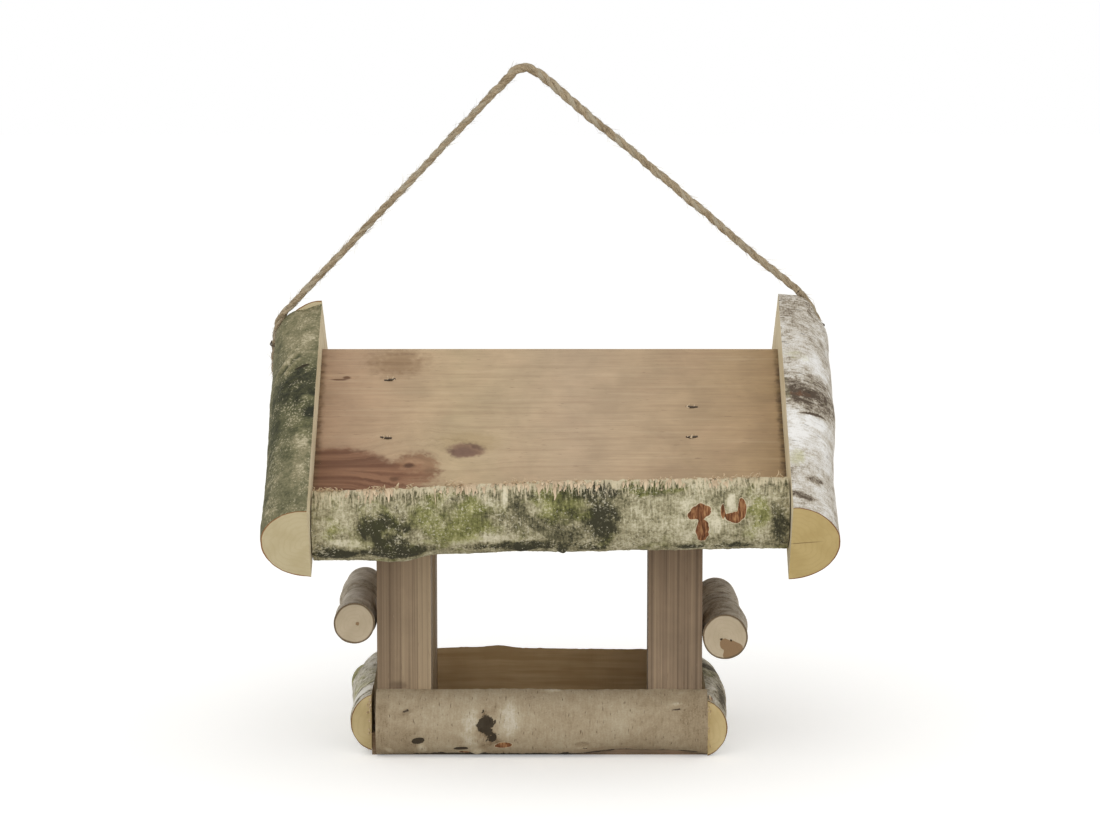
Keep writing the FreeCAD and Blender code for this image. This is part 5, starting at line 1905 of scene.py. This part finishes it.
@dataclass
class Perches:
    """Two whole branches outside the posts."""

    left_radius: float = 10.6
    left_height: float = 72.4
    right_radius: float = 11.6
    right_height: float = 65.4
    half_length: float = 55.0
    clearance: float = 0.2

    def branch(self, end: End, look: LogLook) -> None:
        """One perch against the outer faces of two posts.

        Args:
            end: left or right.
            look: how it is dressed.
        """
        left, key = end is End.LEFT, f"{end.name}_perch".lower()
        radius = self.left_radius if left else self.right_radius
        thickest = max(thicker - drift for _, thicker, drift, _ in GROWTH[key])
        face = Seat(xyz(POST_LEFT_FACE if left else POST_RIGHT_FACE), xyz(0, 1), xyz(end), xyz(0, 0, 1))
        depth, reach = 2 * radius + thickest + self.clearance, self.half_length
        height = self.left_height if left else self.right_height
        Log(key, face, -reach, reach, radius, depth, height, look, whole=True, step=0.7).build()

    def build(self) -> None:
        """Build and dress the two perches."""
        # A branch's thin bark, rubbed by weather: grey brown and nearly smooth, with fine rings round it. Its
        # tones are partly brightened as painted light, since the perches sit in the roof's shade.
        twig = BirchBark(
            "twig_bark",
            ("#695d4d", "#988c7a", "#b3a896", "#c6bcad", "#d8d1c6"),
            patch=10.0, moss_share=0.1, lenticels=0.35, relief=0.2, spread=0.45, streaks=0.6, speckle=1.1,
        ).make()
        rim = {"rim": "#6d5c46", "rim_width": 1.1, "ring_width": 2.2, "heart": "#8f7456"}
        cut = EndGrain("perch_end", "#c0b096", "#b0a085", **rim).make()
        bumpy = {"lumps": 0.3, "grain": 0.08, "creases": 0.2}
        self.branch(End.LEFT, LogLook(21, twig, cut, cut, **bumpy))
        self.branch(End.RIGHT, LogLook(22, twig, cut, cut, **bumpy))


@dataclass
class Stand:
    """The posts, the floor board and the fasteners, whose CAD pieces stay."""

    post_turn: Place = (math.radians(90), 0.0, math.radians(90))
    post_reach: tuple[float, float] = (30.0, 160.0)

    def dress(self, frame: dict, wire: Material) -> None:
        """Give the pieces their materials.

        Args:
            wire: the fasteners' material.
        """
        posts = {
            "line_share": 0.6, "light_share": 0.55, "ring_width": 1.5, "wander": 0.005, "blush_share": 0.0,
            "grain_turn": self.post_turn, "reach": self.post_reach, "measured": False,
        }
        # Posts sawn across the rings: close dark and light lines up the post.
        left_tints = ((0.0, "#9c876c"), (0.5, "#98836a"), (1.0, "#937e66"))
        left_post = PlanedSoftwood(
            "left_post_spruce", left_tints, "#725f4b", "#b39e80", figures=LEFT_POST_SHADE_LIGHT_AND_KNOT, **posts
        ).make()
        right_tints = ((0.0, "#8a7660"), (0.5, "#85705a"), (1.0, "#806c56"))
        right_post = PlanedSoftwood("right_post_spruce", right_tints, "#5f4f3e", "#a08b70", **posts).make()
        # The floor board's spruce is painted darker, as painted shade, since it is seen only in the shade
        # inside the tray and as a thin line under the front log.
        floor_tints_painted_shade = ((0.0, "#87735b"), (1.0, "#7d6a54"))
        floor = PlanedSoftwood("floor_spruce_painted_shade", floor_tints_painted_shade, measured=False).make()
        materials = {"left_post": left_post, "right_post": right_post, "floor_board": floor}
        materials |= {"staple": wire, "staples": wire, "brads": wire}
        for node, piece in frame["nodes"].items():
            for ending, material in materials.items():
                if node.endswith(ending):
                    for slot in piece.material_slots:
                        slot.material = material


@dataclass
class Studio:
    """A plain pale floor, soft even light and the camera at the photograph's angle."""

    camera_place: Place = (0.0, -1.882, 0.4356)
    pitch_down: float = 7.74
    lens: float = 113.1
    sensor_width: float = 36.0
    floor_colour: str = "#f2f1ee"
    floor_reach: float = 6.0
    floor_glow: float = 0.30
    object_middle: Place = (0.0, 0.0, 0.15)
    sky: float = 0.82
    key: float = 8.0
    fill: float = 5.0

    def build(self) -> None:
        """Add the floor, the lamps, the world and the camera."""
        scene = bpy.context.scene
        far = self.floor_reach
        mesh = bpy.data.meshes.new("floor")
        mesh.from_pydata([(-far, -far, 0), (far, -far, 0), (far, far, 0), (-far, far, 0)], [], [(0, 1, 2, 3)])
        mesh.materials.append(self.paper())
        floor = bpy.data.objects.new("floor", mesh)
        scene.collection.objects.link(floor)
        scene.world = self.surroundings()
        self.lamp("key", (-0.5, -1.5, 1.7), self.key, 1.6)
        self.lamp("fill", (0.6, -1.9, 0.45), self.fill, 1.2)
        camera = bpy.data.objects.new("camera", bpy.data.cameras.new("camera"))
        camera.data.lens = self.lens
        camera.data.sensor_width = self.sensor_width
        camera.data.clip_start = 0.05
        camera.location = self.camera_place
        camera.rotation_euler = (math.radians(90 - self.pitch_down), 0.0, 0.0)
        scene.collection.objects.link(camera)
        scene.camera = camera
        scene.view_settings.view_transform = "Standard"

    def lamp(self, name: str, place: Place, power: float, size: float) -> None:
        """Add a soft square lamp that faces the middle of the object.

        Args:
            name: the lamp's name.
            place: where it hangs, in metres.
            power: its power in watts.
            size: its side, in metres.
        """
        light = bpy.data.lights.new(name, "AREA")
        light.energy = power
        light.size = size
        lamp = bpy.data.objects.new(name, light)
        lamp.location = place
        lamp.rotation_euler = (Vector(self.object_middle) - lamp.location).to_track_quat("-Z", "Y").to_euler()
        bpy.context.scene.collection.objects.link(lamp)

    def seen(self, finish: Finish) -> Socket:
        """1 where the camera or a glossy surface looks, and 0 for other light."""
        rays, gloss = (finish.add("LightPath", output=f"Is {kind} Ray") for kind in ("Camera", "Glossy"))
        return finish.add("Math", [rays, gloss], operation="MAXIMUM")

    def surroundings(self) -> bpy.types.World:
        """An even pale sky that the camera and glossy surfaces see as white.

        Returns:
            The world.
        """
        sky = Finish("studio", world=True)
        strength = sky.add("Mix", {0: self.seen(sky), 2: self.sky, 3: 1.0})
        back = sky.add("Background", {"Color": "#ffffff", "Strength": strength})
        sky.add("OutputWorld", {"Surface": back})
        return sky.owner

    def paper(self) -> Material:
        """Matt paper that the camera sees as white, and that keeps the object's soft shadow.

        Returns:
            The material.
        """
        paper = Finish("matt_paper")
        glowing = paper.add("Math", [self.seen(paper), self.floor_glow], operation="MULTIPLY")
        matt = paper.add("BsdfDiffuse", {"Color": self.floor_colour})
        glow = paper.add("Emission", {"Color": "#ffffff", "Strength": glowing})
        both = paper.add("AddShader", [matt, glow])
        paper.add("OutputMaterial", {"Surface": both})
        return paper.owner


def main() -> None:
    """Build and dress the bird table, piece by piece."""
    logging.basicConfig(level=logging.INFO, format="%(name)s %(message)s")
    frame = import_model()
    Studio().build()
    wire = GalvanisedWire().make()
    Twine().build(SpunJute().make(), wire)
    fibre = TornFibre().make()
    side_cut = EndGrain("tray_end", "#bfad82", "#ad9a6d", rim="#7a5a36", rim_width=0.8).make()
    # This sawn birch is brightened as painted light, standing in for more light from the left front on the
    # logs' sawn faces.
    sawn = SawnBirch("sawn_birch", "#e0d4b6", "#c9ba97").make()
    Roof().build(fibre, side_cut, sawn)
    Tray().build(fibre, side_cut, sawn)
    Perches().build()
    Stand().dress(frame, wire)


if __name__ == "__main__":
    main()
